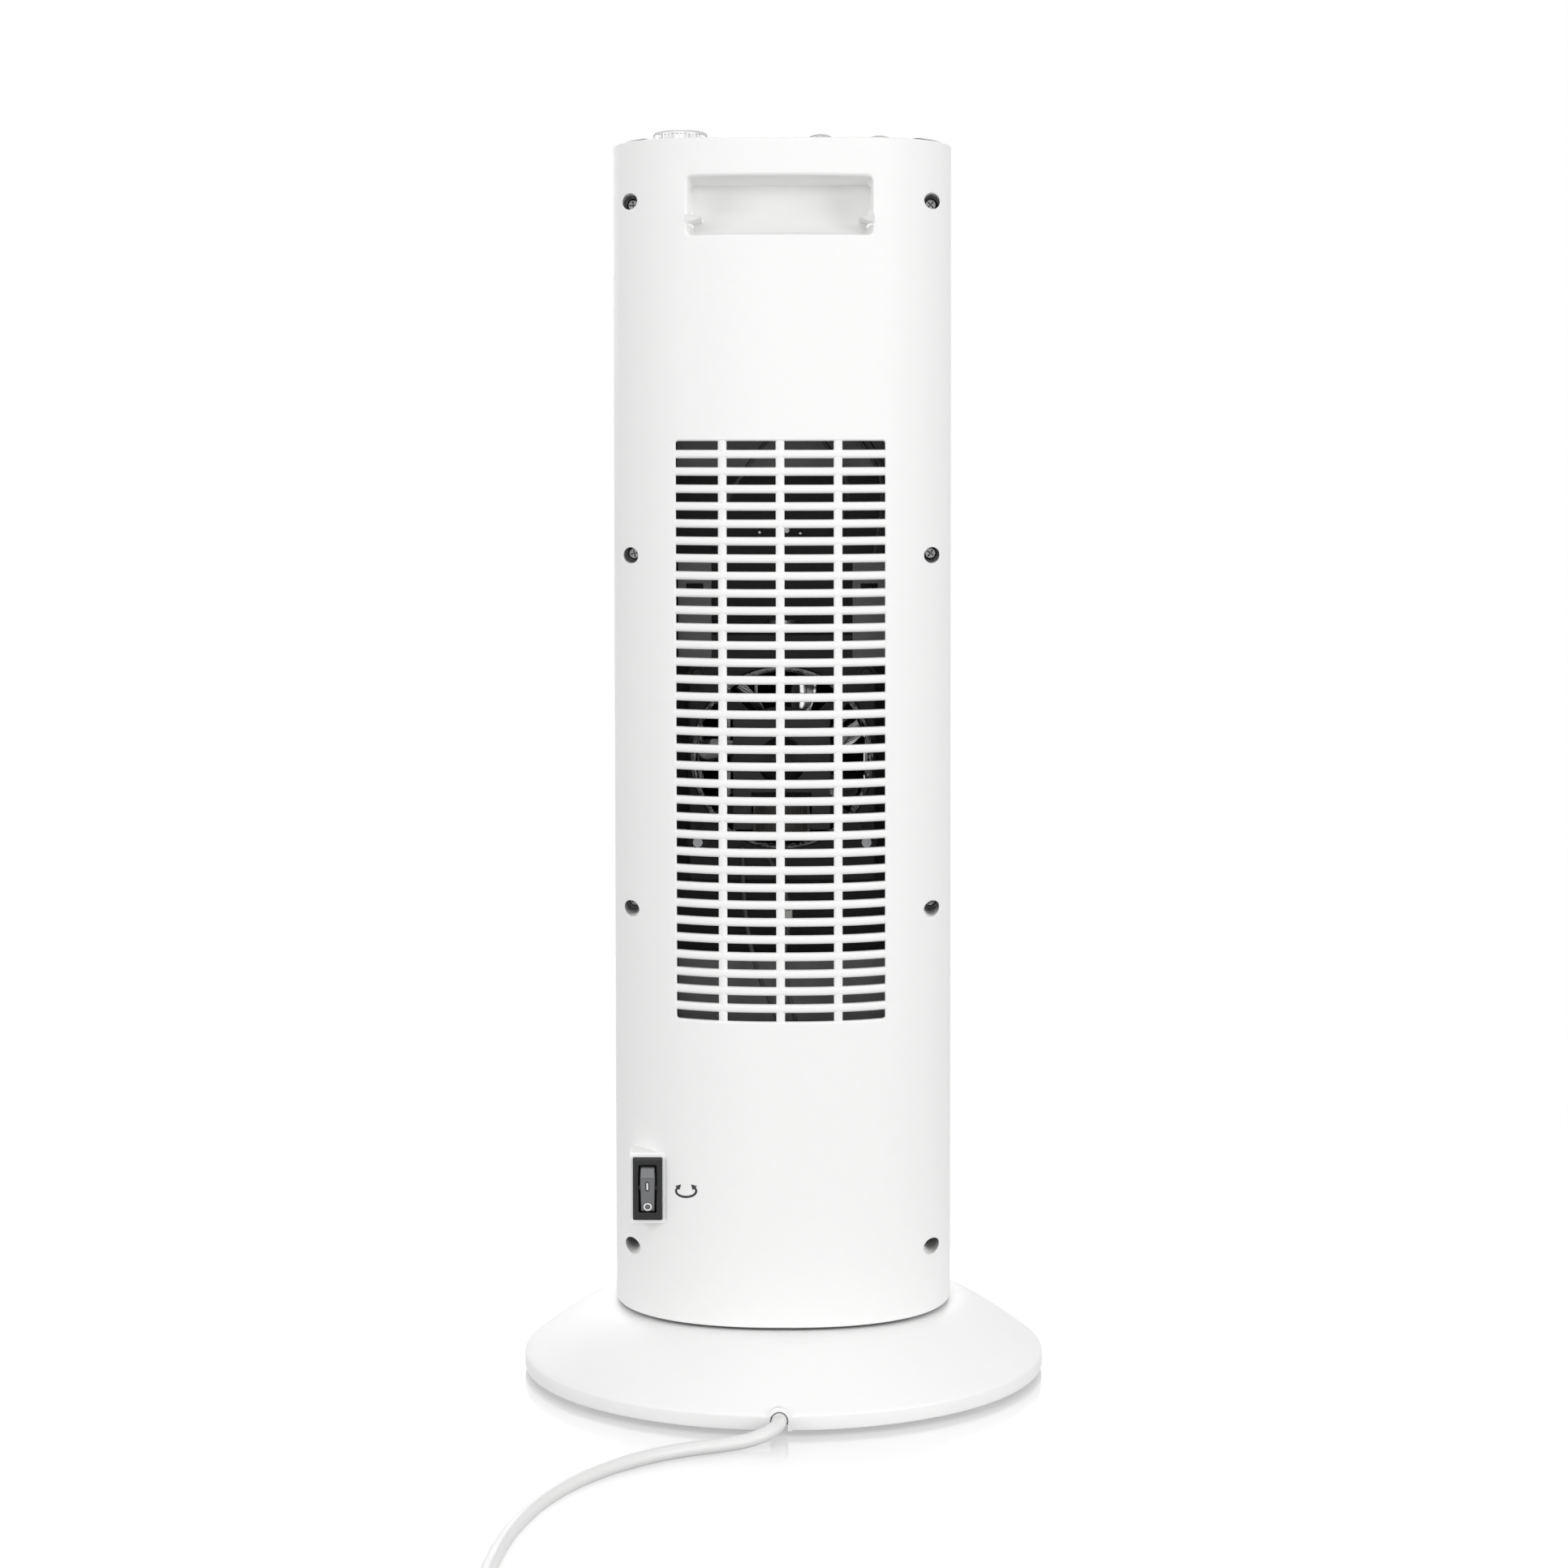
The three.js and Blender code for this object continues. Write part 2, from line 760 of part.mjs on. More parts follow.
function outletGrille() {
  const inset = shellWall + clearance;
  const half = outletHalfWidth + outletOverlap;
  const low = outletLow - outletOverlap;
  const high = outletHigh + outletOverlap;
  const sheet = prismZ(halfOutline(inset, -1), low, high).subtract(
    prismZ(cavityOutline(inset + outletThickness, -1), low - cutOverrun, high + cutOverrun),
  );
  const plate = sheet.intersect(block(-half, half, -frontDepth, -frontDepth / 2, low, high));
  const columns = [
    [-outletHalfWidth + ribWidth, -ribPitch - ribWidth / 2],
    [-ribPitch + ribWidth / 2, -ribWidth / 2],
    [ribWidth / 2, ribPitch - ribWidth / 2],
    [ribPitch + ribWidth / 2, outletHalfWidth - ribWidth],
  ];
  const rows = Math.floor((outletHigh - outletLow) / louvrePitch);
  const firstLow = (outletLow + outletHigh - (rows - 1) * louvrePitch - louvreGap) / 2;
  const gaps = [];
  for (let row = 0; row < rows; row += 1) {
    const gapLow = firstLow + row * louvrePitch;
    for (const [left, right] of columns) {
      gaps.push(block(left, right, -frontDepth - cutOverrun, -frontDepth / 2, gapLow, gapLow + louvreGap));
    }
  }
  return plate.subtract(joined(gaps));
}

// Height of the top panel's low dome at a place on it
function crownHeight(x, y) {
  const across = x / (towerHalfWidth - panelInset);
  const along = y / (rearDepth - panelInset);
  return towerTop + panelEdge + panelCrown * (1 - across ** 2 - along ** 2);
}

function topPanel() {
  const plate = prismZ(wholeOutline(panelInset), panelLow, panelTop);
  const below = panelLow - cutOverrun;
  const above = panelTop + cutOverrun;
  const profile = [
    [0, below],
    [panelReachShare, below],
  ];
  for (let i = 0; i <= panelCrownSteps; i += 1) {
    const radius = panelReachShare * (1 - i / panelCrownSteps);
    profile.push([radius, panelTop - panelCrown * radius ** 2]);
  }
  const dome = turned(profile).scale([towerHalfWidth - panelInset, rearDepth - panelInset, 1]);
  const holes = [
    rodZ(thermostatShaftRadius + clearance, below, above, knobX, controlY),
    ...buttonXs.map((x) => rodZ(buttonRadius + clearance, below, above, x, controlY, capSides)),
  ];
  return plate.intersect(dome).subtract(joined(holes));
}

function bottomPlate() {
  const plate = prismZ(wholeOutline(shellWall + clearance), towerBottom, bottomPlateTop);
  const spigot = rodZ(pivotSpigotRadius, gearTop, bottomPlateTop, 0, 0, roundSides);
  const sleeve = rodZ(pivotSleeveRadius, gearLow, gearTop + clearance, 0, 0, roundSides);
  const posts = [-1, 1].map((side) => {
    const inner = side * (terminalHalfLength - terminalPostWidth);
    const outer = side * terminalHalfLength;
    return block(
      Math.min(inner, outer),
      Math.max(inner, outer),
      -terminalHalfWidth,
      terminalHalfWidth,
      bottomPlateTop - clearance,
      terminalFloor,
    );
  });
  const bore = rodZ(pivotBoreRadius, gearLow - cutOverrun, bottomPlateTop + cutOverrun, 0, 0, roundSides);
  return joined([plate, spigot, sleeve, ...posts]).subtract(bore);
}

function terminalBlock() {
  const body = block(
    -terminalHalfLength,
    terminalHalfLength,
    -terminalHalfWidth,
    terminalHalfWidth,
    0,
    terminalHeight,
  );
  const wells = [];
  const wellCount = 3;
  const wellPitch = (2 * terminalHalfLength) / wellCount;
  for (let i = 0; i < wellCount; i += 1) {
    const x = -terminalHalfLength + wellPitch * (i + 1 / 2);
    wells.push(
      rodZ(terminalHalfWidth / 4, terminalHeight / 2, terminalHeight + cutOverrun, x, 0, smallSides),
    );
  }
  return body.subtract(joined(wells));
}

// From the terminal block up past the fan module to the thermostat
function supplyWirePoints() {
  const low = terminalFloor + terminalHeight + clearance;
  const high = panelLow - thermostatHeight - clearance;
  return supplyWirePlaces.map(([x, y], i) => [x, y, low + supplyWireShares[i] * (high - low)]);
}

// Half the angle that a tooth spans at a radius, on an involute flank
function toothHalfAngle(teeth, radius) {
  const pitchRadius = (gearModule * teeth) / 2;
  const baseCircle = pitchRadius * Math.cos(pressureAngle);
  const involute = (angle) => Math.tan(angle) - angle;
  const here = Math.acos(Math.min(1, baseCircle / radius));
  const pitchHalf = Math.PI / (2 * teeth) - gearBacklash / (2 * pitchRadius);
  return pitchHalf + involute(pressureAngle) - involute(here);
}

// The points of one tooth that is centred on an angle, in the direction of turning
function toothPoints(teeth, centreAngle) {
  const pitchRadius = (gearModule * teeth) / 2;
  const root = pitchRadius - dedendumShare * gearModule;
  const tip = pitchRadius + addendumShare * gearModule;
  const radii = [root, pitchRadius, tip];
  const flank = radii.map((radius) => [radius, toothHalfAngle(teeth, radius)]);
  const at = (radius, angle) => [radius * Math.cos(angle), radius * Math.sin(angle)];
  return [
    ...flank.map(([radius, half]) => at(radius, centreAngle - half)),
    ...flank.reverse().map(([radius, half]) => at(radius, centreAngle + half)),
  ];
}

function sectorGear() {
  const middle = -quarterTurn;
  const toothAngle = fullTurn / sectorTeeth;
  const outline = [[0, 0]];
  for (let i = 0; i < sectorCutTeeth; i += 1) {
    const angle = middle + (i - (sectorCutTeeth - 1) / 2) * toothAngle;
    outline.push(...toothPoints(sectorTeeth, angle));
  }
  const sector = prismZ(outline, gearLow, gearTop);
  const hub = rodZ(sectorHubRadius, gearLow, gearTop, 0, 0, roundSides);
  const boreRadius = pivotSleeveRadius + clearance;
  const bore = rodZ(boreRadius, gearLow - cutOverrun, gearTop + cutOverrun, 0, 0, roundSides);
  return sector.add(hub).subtract(bore);
}

function pinion() {
  const toothAngle = fullTurn / pinionTeeth;
  const outline = [];
  for (let i = 0; i < pinionTeeth; i += 1) {
    outline.push(...toothPoints(pinionTeeth, quarterTurn + (i + 1 / 2) * toothAngle));
  }
  const gear = prismZ(outline, gearLow, gearTop - clearance);
  return gear.add(rodZ(driveShaftRadius, gearLow - driveShaftDrop, gearLow + clearance));
}

function driveMotor() {
  const top = basePlateTop + driveMotorHeight;
  const can = rodZ(driveMotorRadius, basePlateTop, top, 0, 0, roundSides);
  const earReach = driveMotorRadius + driveEarLength;
  const ears = block(
    -earReach,
    earReach,
    -driveEarWidth / 2,
    driveEarWidth / 2,
    basePlateTop,
    basePlateTop + driveEarThickness,
  );
  const bore = rodZ(
    driveShaftRadius + clearance,
    gearLow - driveShaftDrop - clearance,
    top + cutOverrun,
  );
  return can.add(ears).subtract(bore);
}

function baseScrewPlaces() {
  const places = [];
  for (let i = 0; i < baseScrewCount; i += 1) {
    const angle = fullTurn * (baseScrewTurnShare + i / baseScrewCount);
    places.push([baseScrewCircle * Math.cos(angle), baseScrewCircle * Math.sin(angle)]);
  }
  return places;
}

function footPlaces() {
  const x = footReach * Math.cos(fullTurn * footTurnShare);
  const y = footReach * Math.sin(fullTurn * footTurnShare);
  return [
    [x, y],
    [-x, y],
    [-x, -y],
    [x, -y],
  ];
}

function baseCover() {
  const outer = turned(
    [
      [0, basePlateLow],
      [baseRadius, basePlateLow],
      [baseRadius, lipTop],
      [shoulderRadius, shoulderTop],
      [plateauRadius, plateauTop],
      [0, plateauTop],
    ],
    baseSides,
  );
  const inner = turned(
    [
      [0, basePlateLow - cutOverrun],
      [baseRadius - baseWall, basePlateLow - cutOverrun],
      [baseRadius - baseWall, lipTop - baseWall / 2],
      [shoulderRadius - baseWall / 2, shoulderTop - baseWall],
      [plateauRadius - baseWall / 2, coverInnerTop],
      [0, coverInnerTop],
    ],
    baseSides,
  );
  const bosses = joined(
    baseScrewPlaces().map(([x, y]) => rodZ(baseBossRadius, basePlateTop, plateauTop, x, y)),
  ).intersect(outer);
  const hoodRadius = exitArchRadius + exitHoodWall;
  const hoodLow = baseRadius - exitHoodLength;
  const hood = rodY(hoodRadius, hoodLow, baseRadius, 0, exitHeight, roundSides)
    .add(block(-hoodRadius, hoodRadius, hoodLow, baseRadius, basePlateLow, exitHeight))
    .intersect(rodZ(baseRadius, basePlateLow, plateauTop, 0, 0, baseSides));
  const archLow = hoodLow - cutOverrun;
  const archHigh = baseRadius + cutOverrun;
  const arch = rodY(exitArchRadius, archLow, archHigh, 0, exitHeight, roundSides).add(
    block(-exitArchRadius, exitArchRadius, archLow, archHigh, basePlateLow - cutOverrun, exitHeight),
  );
  const pilots = baseScrewPlaces().map(([x, y]) =>
    rodZ(baseScrewShankRadius + clearance, 0, basePlateTop + baseScrewLength, x, y, smallSides),
  );
  const hole = rodZ(coverHoleRadius, coverInnerTop - cutOverrun, plateauTop + cutOverrun, 0, 0, roundSides);
  return outer.subtract(inner).add(bosses).add(hood).subtract(joined([arch, hole, ...pilots]));
}

function basePlate() {
  const disc = rodZ(basePlateRadius, basePlateLow, basePlateTop, 0, 0, baseSides);
  const screwSeat = basePlateLow + baseScrewHeadHeight;
  const cuts = [
    ...baseScrewPlaces().flatMap(([x, y]) => [
      rodZ(baseScrewHeadRadius + clearance, 0, screwSeat, x, y),
      rodZ(baseScrewShankRadius + clearance, 0, basePlateTop + cutOverrun, x, y, smallSides),
    ]),
    ...footPlaces().map(([x, y]) =>
      rodZ(footStemRadius + clearance, 0, basePlateTop + cutOverrun, x, y, smallSides),
    ),
    rodZ(tipPlungerRadius + clearance, 0, basePlateTop + cutOverrun, tipSwitchX, tipSwitchY),
    block(
      -reliefFlangeHalfWidth - clearance,
      reliefFlangeHalfWidth + clearance,
      baseRadius - exitSlotLength,
      baseRadius + cutOverrun,
      0,
      basePlateTop + cutOverrun,
    ),
  ];
  return disc.subtract(joined(cuts));
}

function slideRing() {
  const flange = rodZ(slideRingRadius, plateauTop, plateauTop + slideRingHeight, 0, 0, roundSides);
  const collarRadius = pivotSpigotRadius + clearance + slideRingWall;
  const collar = rodZ(collarRadius, coverInnerTop, plateauTop + clearance, 0, 0, roundSides);
  const bore = rodZ(
    pivotSpigotRadius + clearance,
    coverInnerTop - cutOverrun,
    plateauTop + slideRingHeight + cutOverrun,
    0,
    0,
    roundSides,
  );
  return flange.add(collar).subtract(bore);
}

function tipSwitch() {
  const body = block(
    -tipSwitchLength / 2,
    tipSwitchLength / 2,
    -tipSwitchWidth / 2,
    tipSwitchWidth / 2,
    0,
    tipSwitchHeight,
  );
  return body.subtract(
    rodZ(tipPlungerRadius + clearance, -cutOverrun, tipPlungerHeight - basePlateTop + clearance),
  );
}

function tipPlunger() {
  const tip = tipPlungerRadius / 2;
  return turned(
    [
      [0, 0],
      [tip, 0],
      [tipPlungerRadius, tip],
      [tipPlungerRadius, tipPlungerHeight],
      [0, tipPlungerHeight],
    ],
    bossSides,
  );
}

function foot() {
  return turned(
    [
      [0, 0],
      [footRadius, 0],
      [footRadius, basePlateLow],
      [footStemRadius, basePlateLow],
      [footStemRadius, footStemHeight],
      [0, footStemHeight],
    ],
    bossSides,
  );
}

function knob() {
  const outline = [];
  for (let i = 0; i < 2 * knobRibs; i += 1) {
    const angle = (fullTurn * i) / (2 * knobRibs);
    const radius = i % 2 === 0 ? knobRadius : knobRadius - knobRibDepth;
    outline.push([radius * Math.cos(angle), radius * Math.sin(angle)]);
  }
  const skirt = prismZ(outline, 0, knobHeight - knobEdge);
  const cap = turned([
    [0, knobHeight - knobEdge - clearance],
    [knobRadius - knobRibDepth, knobHeight - knobEdge - clearance],
    [knobRadius - knobRibDepth, knobHeight - knobEdge],
    [knobRadius - knobRibDepth - knobEdge, knobHeight],
    [0, knobHeight],
  ]);
  const socket = rodZ(thermostatShaftRadius + clearance, -cutOverrun, knobHeight / 2 + clearance);
  return skirt.add(cap).subtract(socket);
}

function buttonCap(x) {
  const low = panelLow - clearance - buttonFlangeHeight;
  const top = crownHeight(x, controlY) + buttonRise;
  const profile = [
    [0, low],
    [buttonFlangeRadius, low],
    [buttonFlangeRadius, low + buttonFlangeHeight],
    [buttonRadius, low + buttonFlangeHeight],
  ];
  for (let i = 0; i <= buttonDomeSteps; i += 1) {
    const angle = (quarterTurn * i) / buttonDomeSteps;
    const height = top - buttonDomeHeight * (1 - Math.sin(angle));
    profile.push([i === buttonDomeSteps ? 0 : buttonRadius * Math.cos(angle), height]);
  }
  return turned(profile, capSides);
}

function buttonSwitch() {
  const body = block(
    -buttonSwitchLength / 2,
    buttonSwitchLength / 2,
    -buttonSwitchWidth / 2,
    buttonSwitchWidth / 2,
    panelLow - buttonSwitchHeight,
    panelLow,
  );
  const wellFloor = panelLow - buttonWellDepth;
  return body.subtract(rodZ(buttonWellRadius, wellFloor, panelLow + cutOverrun, 0, 0, capSides));
}

function thermostat() {
  const body = block(
    -thermostatLength / 2,
    thermostatLength / 2,
    -thermostatWidth / 2,
    thermostatWidth / 2,
    panelLow - thermostatHeight,
    panelLow,
  );
  const shaftLow = shaftTop - thermostatShaftLength;
  return body.subtract(
    rodZ(thermostatShaftRadius + clearance, shaftLow - clearance, panelLow + cutOverrun),
  );
}

function rockerHousing() {
  const bezelFront = padFace + bezelThickness;
  const inner = bezelThickness - bezelBevel;
  const bezel = block(
    -bezelHalfWidth,
    bezelHalfWidth,
    padFace,
    padFace + inner,
    -bezelHalfHeight,
    bezelHalfHeight,
  ).add(
    block(
      -bezelHalfWidth + bezelBevel,
      bezelHalfWidth - bezelBevel,
      padFace + inner - clearance,
      bezelFront,
      -bezelHalfHeight + bezelBevel,
      bezelHalfHeight - bezelBevel,
    ),
  );
  const box = block(
    -housingHalfWidth,
    housingHalfWidth,
    padFace - housingDepth,
    padFace + clearance,
    -housingHalfHeight,
    housingHalfHeight,
  );
  const window = block(
    -windowHalfWidth,
    windowHalfWidth,
    bezelFront - windowDepth,
    bezelFront + cutOverrun,
    -windowHalfHeight,
    windowHalfHeight,
  );
  const pinReach = windowHalfWidth + rockerPinReach + clearance;
  const pinHoles = rodX(rockerPinRadius + clearance, -pinReach, pinReach, rockerPivotY, 0);
  return bezel.add(box).subtract(window).subtract(pinHoles);
}

function rocker() {
  const halfWidth = windowHalfWidth - clearance;
  const outline = [
    [-rockerRoot, -rockerHalfLength],
    [rockerShoulder, -rockerHalfLength],
    [rockerCrest, rockerFold],
    [rockerTip, rockerHalfLength],
    [-rockerRoot, rockerHalfLength],
    [-rockerKeel, rockerKeelHalfWidth],
    [-rockerKeel, -rockerKeelHalfWidth],
  ];
  const pinReach = windowHalfWidth + rockerPinReach;
  return prismX(outline, -halfWidth, halfWidth).add(rodX(rockerPinRadius, -pinReach, pinReach));
}

function fanDuct() {
  const cavityRear = ductRear - shroudThickness;
  const box = block(-ductHalfWidth, ductHalfWidth, ductFront, ductRear, -ductHalfHeight, ductHalfHeight);
  const cavity = block(
    -ductHalfWidth + ductWall,
    ductHalfWidth - ductWall,
    ductFront - cutOverrun,
    cavityRear,
    -ductHalfHeight + ductWall,
    ductHalfHeight - ductWall,
  );
  const low = partitionLow - fanHeight;
  const high = partitionHigh - fanHeight;
  const partition = block(
    -partitionHalfWidth,
    partitionHalfWidth,
    partitionFace,
    partitionFace + partitionThickness,
    low,
    high,
  );
  const shelves = [low, high - ductWall].map((shelfLow) =>
    block(
      -shelfHalfWidth,
      shelfHalfWidth,
      partitionFace + partitionThickness - clearance,
      shelfReach,
      shelfLow,
      shelfLow + ductWall,
    ),
  );
  const screwHoles = ductScrewPlaces().map(([x, z]) =>
    rodY(ductScrewShankRadius + clearance, cavityRear - cutOverrun, ductRear + cutOverrun, x, z, smallSides),
  );
  const shroud = rodY(shroudRadius, cavityRear - cutOverrun, ductRear + cutOverrun, 0, 0, roundSides);
  return joined([box, partition, ...shelves]).subtract(cavity).subtract(joined([shroud, ...screwHoles]));
}

function ductScrewPlaces() {
  return [
    [ductScrewReach, ductScrewReach],
    [-ductScrewReach, ductScrewReach],
    [-ductScrewReach, -ductScrewReach],
    [ductScrewReach, -ductScrewReach],
  ];
}

function impeller() {
  const hub = rodY(impellerHubRadius, -impellerHubLength / 2, impellerHubLength / 2, 0, 0, roundSides);
  const rootRadius = impellerHubRadius * bladeRootShare;
  const blades = [];
  for (let i = 0; i < bladeCount; i += 1) {
    const blade = new THREE.BoxGeometry(impellerRadius - rootRadius, bladeThickness, bladeChord);
    blade.rotateX(bladePitch);
    blade.translate((impellerRadius + rootRadius) / 2, 0, 0);
    blade.rotateY((fullTurn * i) / bladeCount);
    blades.push(solidOf(blade));
  }
  const bore = rodY(motorShaftRadius + clearance, -cutOverrun, impellerHubLength / 2 + cutOverrun, 0, 0);
  return hub.add(joined(blades)).subtract(bore);
}

function motorBracket() {
  const high = ductRear + bracketThickness;
  const armLength = ductScrewReach * Math.SQRT2 + bracketArmWidth / 2;
  const arms = [1, -1].map((side) => {
    const arm = new THREE.BoxGeometry(2 * armLength, bracketThickness, bracketArmWidth);
    arm.rotateY((side * quarterTurn) / 2);
    arm.translate(0, ductRear + bracketThickness / 2, 0);
    return solidOf(arm);
  });
  const disc = rodY(bracketDiscRadius, ductRear, high, 0, 0, roundSides);
  const spacers = [-1, 1].flatMap((side) =>
    [-1, 1].map((up) =>
      rodY(
        bracketSpacerRadius,
        ductRear,
        high + bracketSpacer,
        side * bracketSpacerX,
        up > 0 ? bracketSpacerZ : -bracketSpacerZ / 2,
      ),
    ),
  );
  const holes = [
    rodY(motorShaftRadius + clearance, ductRear - cutOverrun, high + cutOverrun),
    ...ductScrewPlaces().map(([x, z]) =>
      rodY(ductScrewShankRadius + clearance, ductRear - cutOverrun, high + cutOverrun, x, z, smallSides),
    ),
  ];
  return joined([...arms, disc, ...spacers]).subtract(joined(holes));
}

function motorCore() {
  const body = block(-coreHalfWidth, coreHalfWidth, coreLow, coreHigh, coreBottom, coreTop);
  const bore = rodY(coreBoreRadius, coreLow - cutOverrun, coreHigh + cutOverrun, 0, 0, roundSides);
  const window = block(
    -coreWindowHalfWidth,
    coreWindowHalfWidth,
    coreLow - cutOverrun,
    coreHigh + cutOverrun,
    coreBottom + coreLimb,
    coreWindowTop,
  );
  return body.subtract(bore).subtract(window);
}

function motorWinding() {
  const limbTop = coreBottom + coreLimb;
  const outside = block(
    -windingHalfLength,
    windingHalfLength,
    coreLow - windingThickness / 2,
    coreHigh + windingThickness / 2,
    coreBottom - windingThickness,
    limbTop + windingThickness,
  );
  const limb = block(
    -windingHalfLength - cutOverrun,
    windingHalfLength + cutOverrun,
    coreLow - clearance,
    coreHigh + clearance,
    coreBottom - clearance,
    limbTop + clearance,
  );
  return outside.subtract(limb);
}

function motorShaft() {
  const shaftLow = impellerY;
  const shaftHigh = coreHigh + bearingThickness + bearingHubLength / 2;
  const drum = rodY(coreBoreRadius - rotorGap, coreLow + rotorGap, coreHigh - rotorGap, 0, 0, roundSides);
  return drum.add(rodY(motorShaftRadius, shaftLow, shaftHigh));
}

function motorBearing() {
  const high = coreHigh + bearingThickness;
  const strap = block(
    -bearingHalfWidth,
    bearingHalfWidth,
    coreHigh,
    high,
    -bearingHalfHeight,
    bearingHalfHeight,
  );
  const hub = rodY(bearingHubRadius, coreHigh, high + bearingHubLength);
  const bore = rodY(
    motorShaftRadius + clearance,
    coreHigh - cutOverrun,
    high + bearingHubLength / 2 + clearance,
  );
  return strap.add(hub).subtract(bore);
}

function heaterCore() {
  const halfWidth = ductHalfWidth - ductWall - clearance;
  const halfHeight = ductHalfHeight - ductWall - clearance;
  const low = ductFront + heaterFrontGap;
  const high = low + heaterThickness;
  const body = block(-halfWidth, halfWidth, low, high, -halfHeight, halfHeight);
  const pitch = (2 * halfWidth) / heaterFinCount;
  const margin = (pitch * (1 - heaterFinShare)) / 2;
  const grooves = [];
  for (let i = 0; i < heaterFinCount; i += 1) {
    const left = -halfWidth + i * pitch + margin;
    const right = left + pitch * heaterFinShare;
    const top = halfHeight - ductWall;
    grooves.push(block(left, right, low - cutOverrun, low + heaterFinDepth, -top, top));
    grooves.push(block(left, right, high - heaterFinDepth, high + cutOverrun, -top, top));
  }
  return body.subtract(joined(grooves));
}

function cordRelief() {
  const taper = turned(
    [
      [0, reliefInner],
      [reliefRadius - clearance, reliefInner],
      [reliefRadius, baseRadius],
      [reliefTipRadius, reliefTip],
      [0, reliefTip],
    ],
    roundSides / 2,
  );
  const along = new THREE.Matrix4().makeRotationX(-quarterTurn);
  const lying = solidOf(geometryOf(taper).applyMatrix4(along).translate(0, 0, exitHeight));
  const flangeHigh = baseRadius - exitHoodLength - clearance;
  const flange = block(
    -reliefFlangeHalfWidth,
    reliefFlangeHalfWidth,
    flangeHigh - reliefFlangeThickness,
    flangeHigh,
    basePlateLow + clearance,
    reliefFlangeTop,
  );
  return lying.add(flange);
}

// The lead inside the base: along the floor of the base and up through the hollow pivot
function innerLeadPoints() {
  const start = reliefInner - clearance;
  const points = [
    [0, start, exitHeight],
    [0, start - cordRadius, exitHeight],
    [0, start - innerLeadRise, innerLeadHeight],
    [0, (start + innerLeadBend) / 2, innerLeadHeight],
  ];
  const arcSteps = 5;
  for (let i = 0; i <= arcSteps; i += 1) {
    const angle = (quarterTurn * i) / arcSteps;
    points.push([
      0,
      innerLeadBend * (1 - Math.sin(angle)),
      innerLeadHeight + innerLeadBend * (1 - Math.cos(angle)),
    ]);
  }
  points.push([0, 0, terminalFloor - clearance]);
  return points;
}

function coilCentre() {
  const last = cordRoute[cordRoute.length - 1];
  return [last[0] - coilOuterRadius, last[1] + clearance + 2 * cordRadius];
}

// Centre of the coiled tube after a number of turns from where the cord meets it
function coilPoint(turns) {
  const [centreX, centreY] = coilCentre();
  const fromReversal = turns - coilTurnsIn;
  const radius = coilInnerRadius + coilPitch * Math.abs(fromReversal);
  const climbed = Math.min(1, Math.max(0, fromReversal / coilClimbTurns + 1 / 2));
  const angle = fullTurn * turns;
  return new THREE.Vector3(
    centreX + radius * Math.cos(angle),
    centreY + radius * Math.sin(angle),
    cordRadius + coilLayer * climbed,
  );
}

function coilTurns() {
  return coilTurnsIn + coilTurnsOut;
}

// The plug lies along -X, beside the coil
function plugStart() {
  const last = coilPoint(coilTurns());
  return [last.x - tailRun - clearance, last.y, plugRadius];
}

function coilCentreline() {
  const first = coilPoint(0);
  const points = [new THREE.Vector3(first.x, first.y - 2 * cordRadius, first.z)];
  const steps = Math.round(coilTurns() * stepsPerLoop);
  for (let i = 0; i <= steps; i += 1) {
    points.push(coilPoint((coilTurns() * i) / steps));
  }
  const last = points[points.length - 1];
  const rise = plugRadius - last.z;
  const curved = tailRun - 2 * cordRadius;
  for (let i = 1; i <= tailSteps; i += 1) {
    const share = i / tailSteps;
    const eased = share * share * (3 - 2 * share);
    points.push(new THREE.Vector3(last.x - curved * share, last.y, last.z + rise * eased));
  }
  points.push(new THREE.Vector3(last.x - tailRun, last.y, plugRadius));
  return points;
}

// One unbroken tube with upright sections along a list of points
function sweptTube(points, radius, sides) {
  const up = new THREE.Vector3(0, 0, 1);
  const positions = [];
  points.forEach((point, i) => {
    const before = points[Math.max(0, i - 1)];
    const after = points[Math.min(points.length - 1, i + 1)];
    const along = after.clone().sub(before).normalize();
    const across = along.clone().cross(up).normalize();
    const over = across.clone().cross(along).normalize();
    for (let k = 0; k < sides; k += 1) {
      const angle = (fullTurn * k) / sides;
      const at = point
        .clone()
        .addScaledVector(across, radius * Math.cos(angle))
        .addScaledVector(over, radius * Math.sin(angle));
      positions.push(at.x, at.y, at.z);
    }
  });
  const index = [];
  for (let i = 0; i + 1 < points.length; i += 1) {
    for (let k = 0; k < sides; k += 1) {
      const a = i * sides + k;
      const b = i * sides + ((k + 1) % sides);
      index.push(a, a + sides, b, b, a + sides, b + sides);
    }
  }
  const lastRing = (points.length - 1) * sides;
  for (let k = 1; k + 1 < sides; k += 1) {
    index.push(0, k, k + 1);
    index.push(lastRing, lastRing + k + 1, lastRing + k);
  }
  const geometry = new THREE.BufferGeometry();
  geometry.setAttribute('position', new THREE.Float32BufferAttribute(positions, 3));
  geometry.setIndex(index);
  return geometryOf(solidOf(geometry));
}

// Least gap between the coil's turns, measured on points of its centre line
function leastCoilGap() {
  const perTurn = 4 * stepsPerLoop;
  const count = Math.round(coilTurns() * perTurn);
  const points = [];
  for (let i = 0; i <= count; i += 1) {
    points.push(coilPoint((coilTurns() * i) / count));
  }
  let least = Infinity;
  for (let i = 0; i < points.length; i += 1) {
    for (let j = i + perTurn / 2; j < points.length; j += 1) {
      least = Math.min(least, points[i].distanceTo(points[j]) - 2 * cordRadius);
    }
  }
  return least;
}

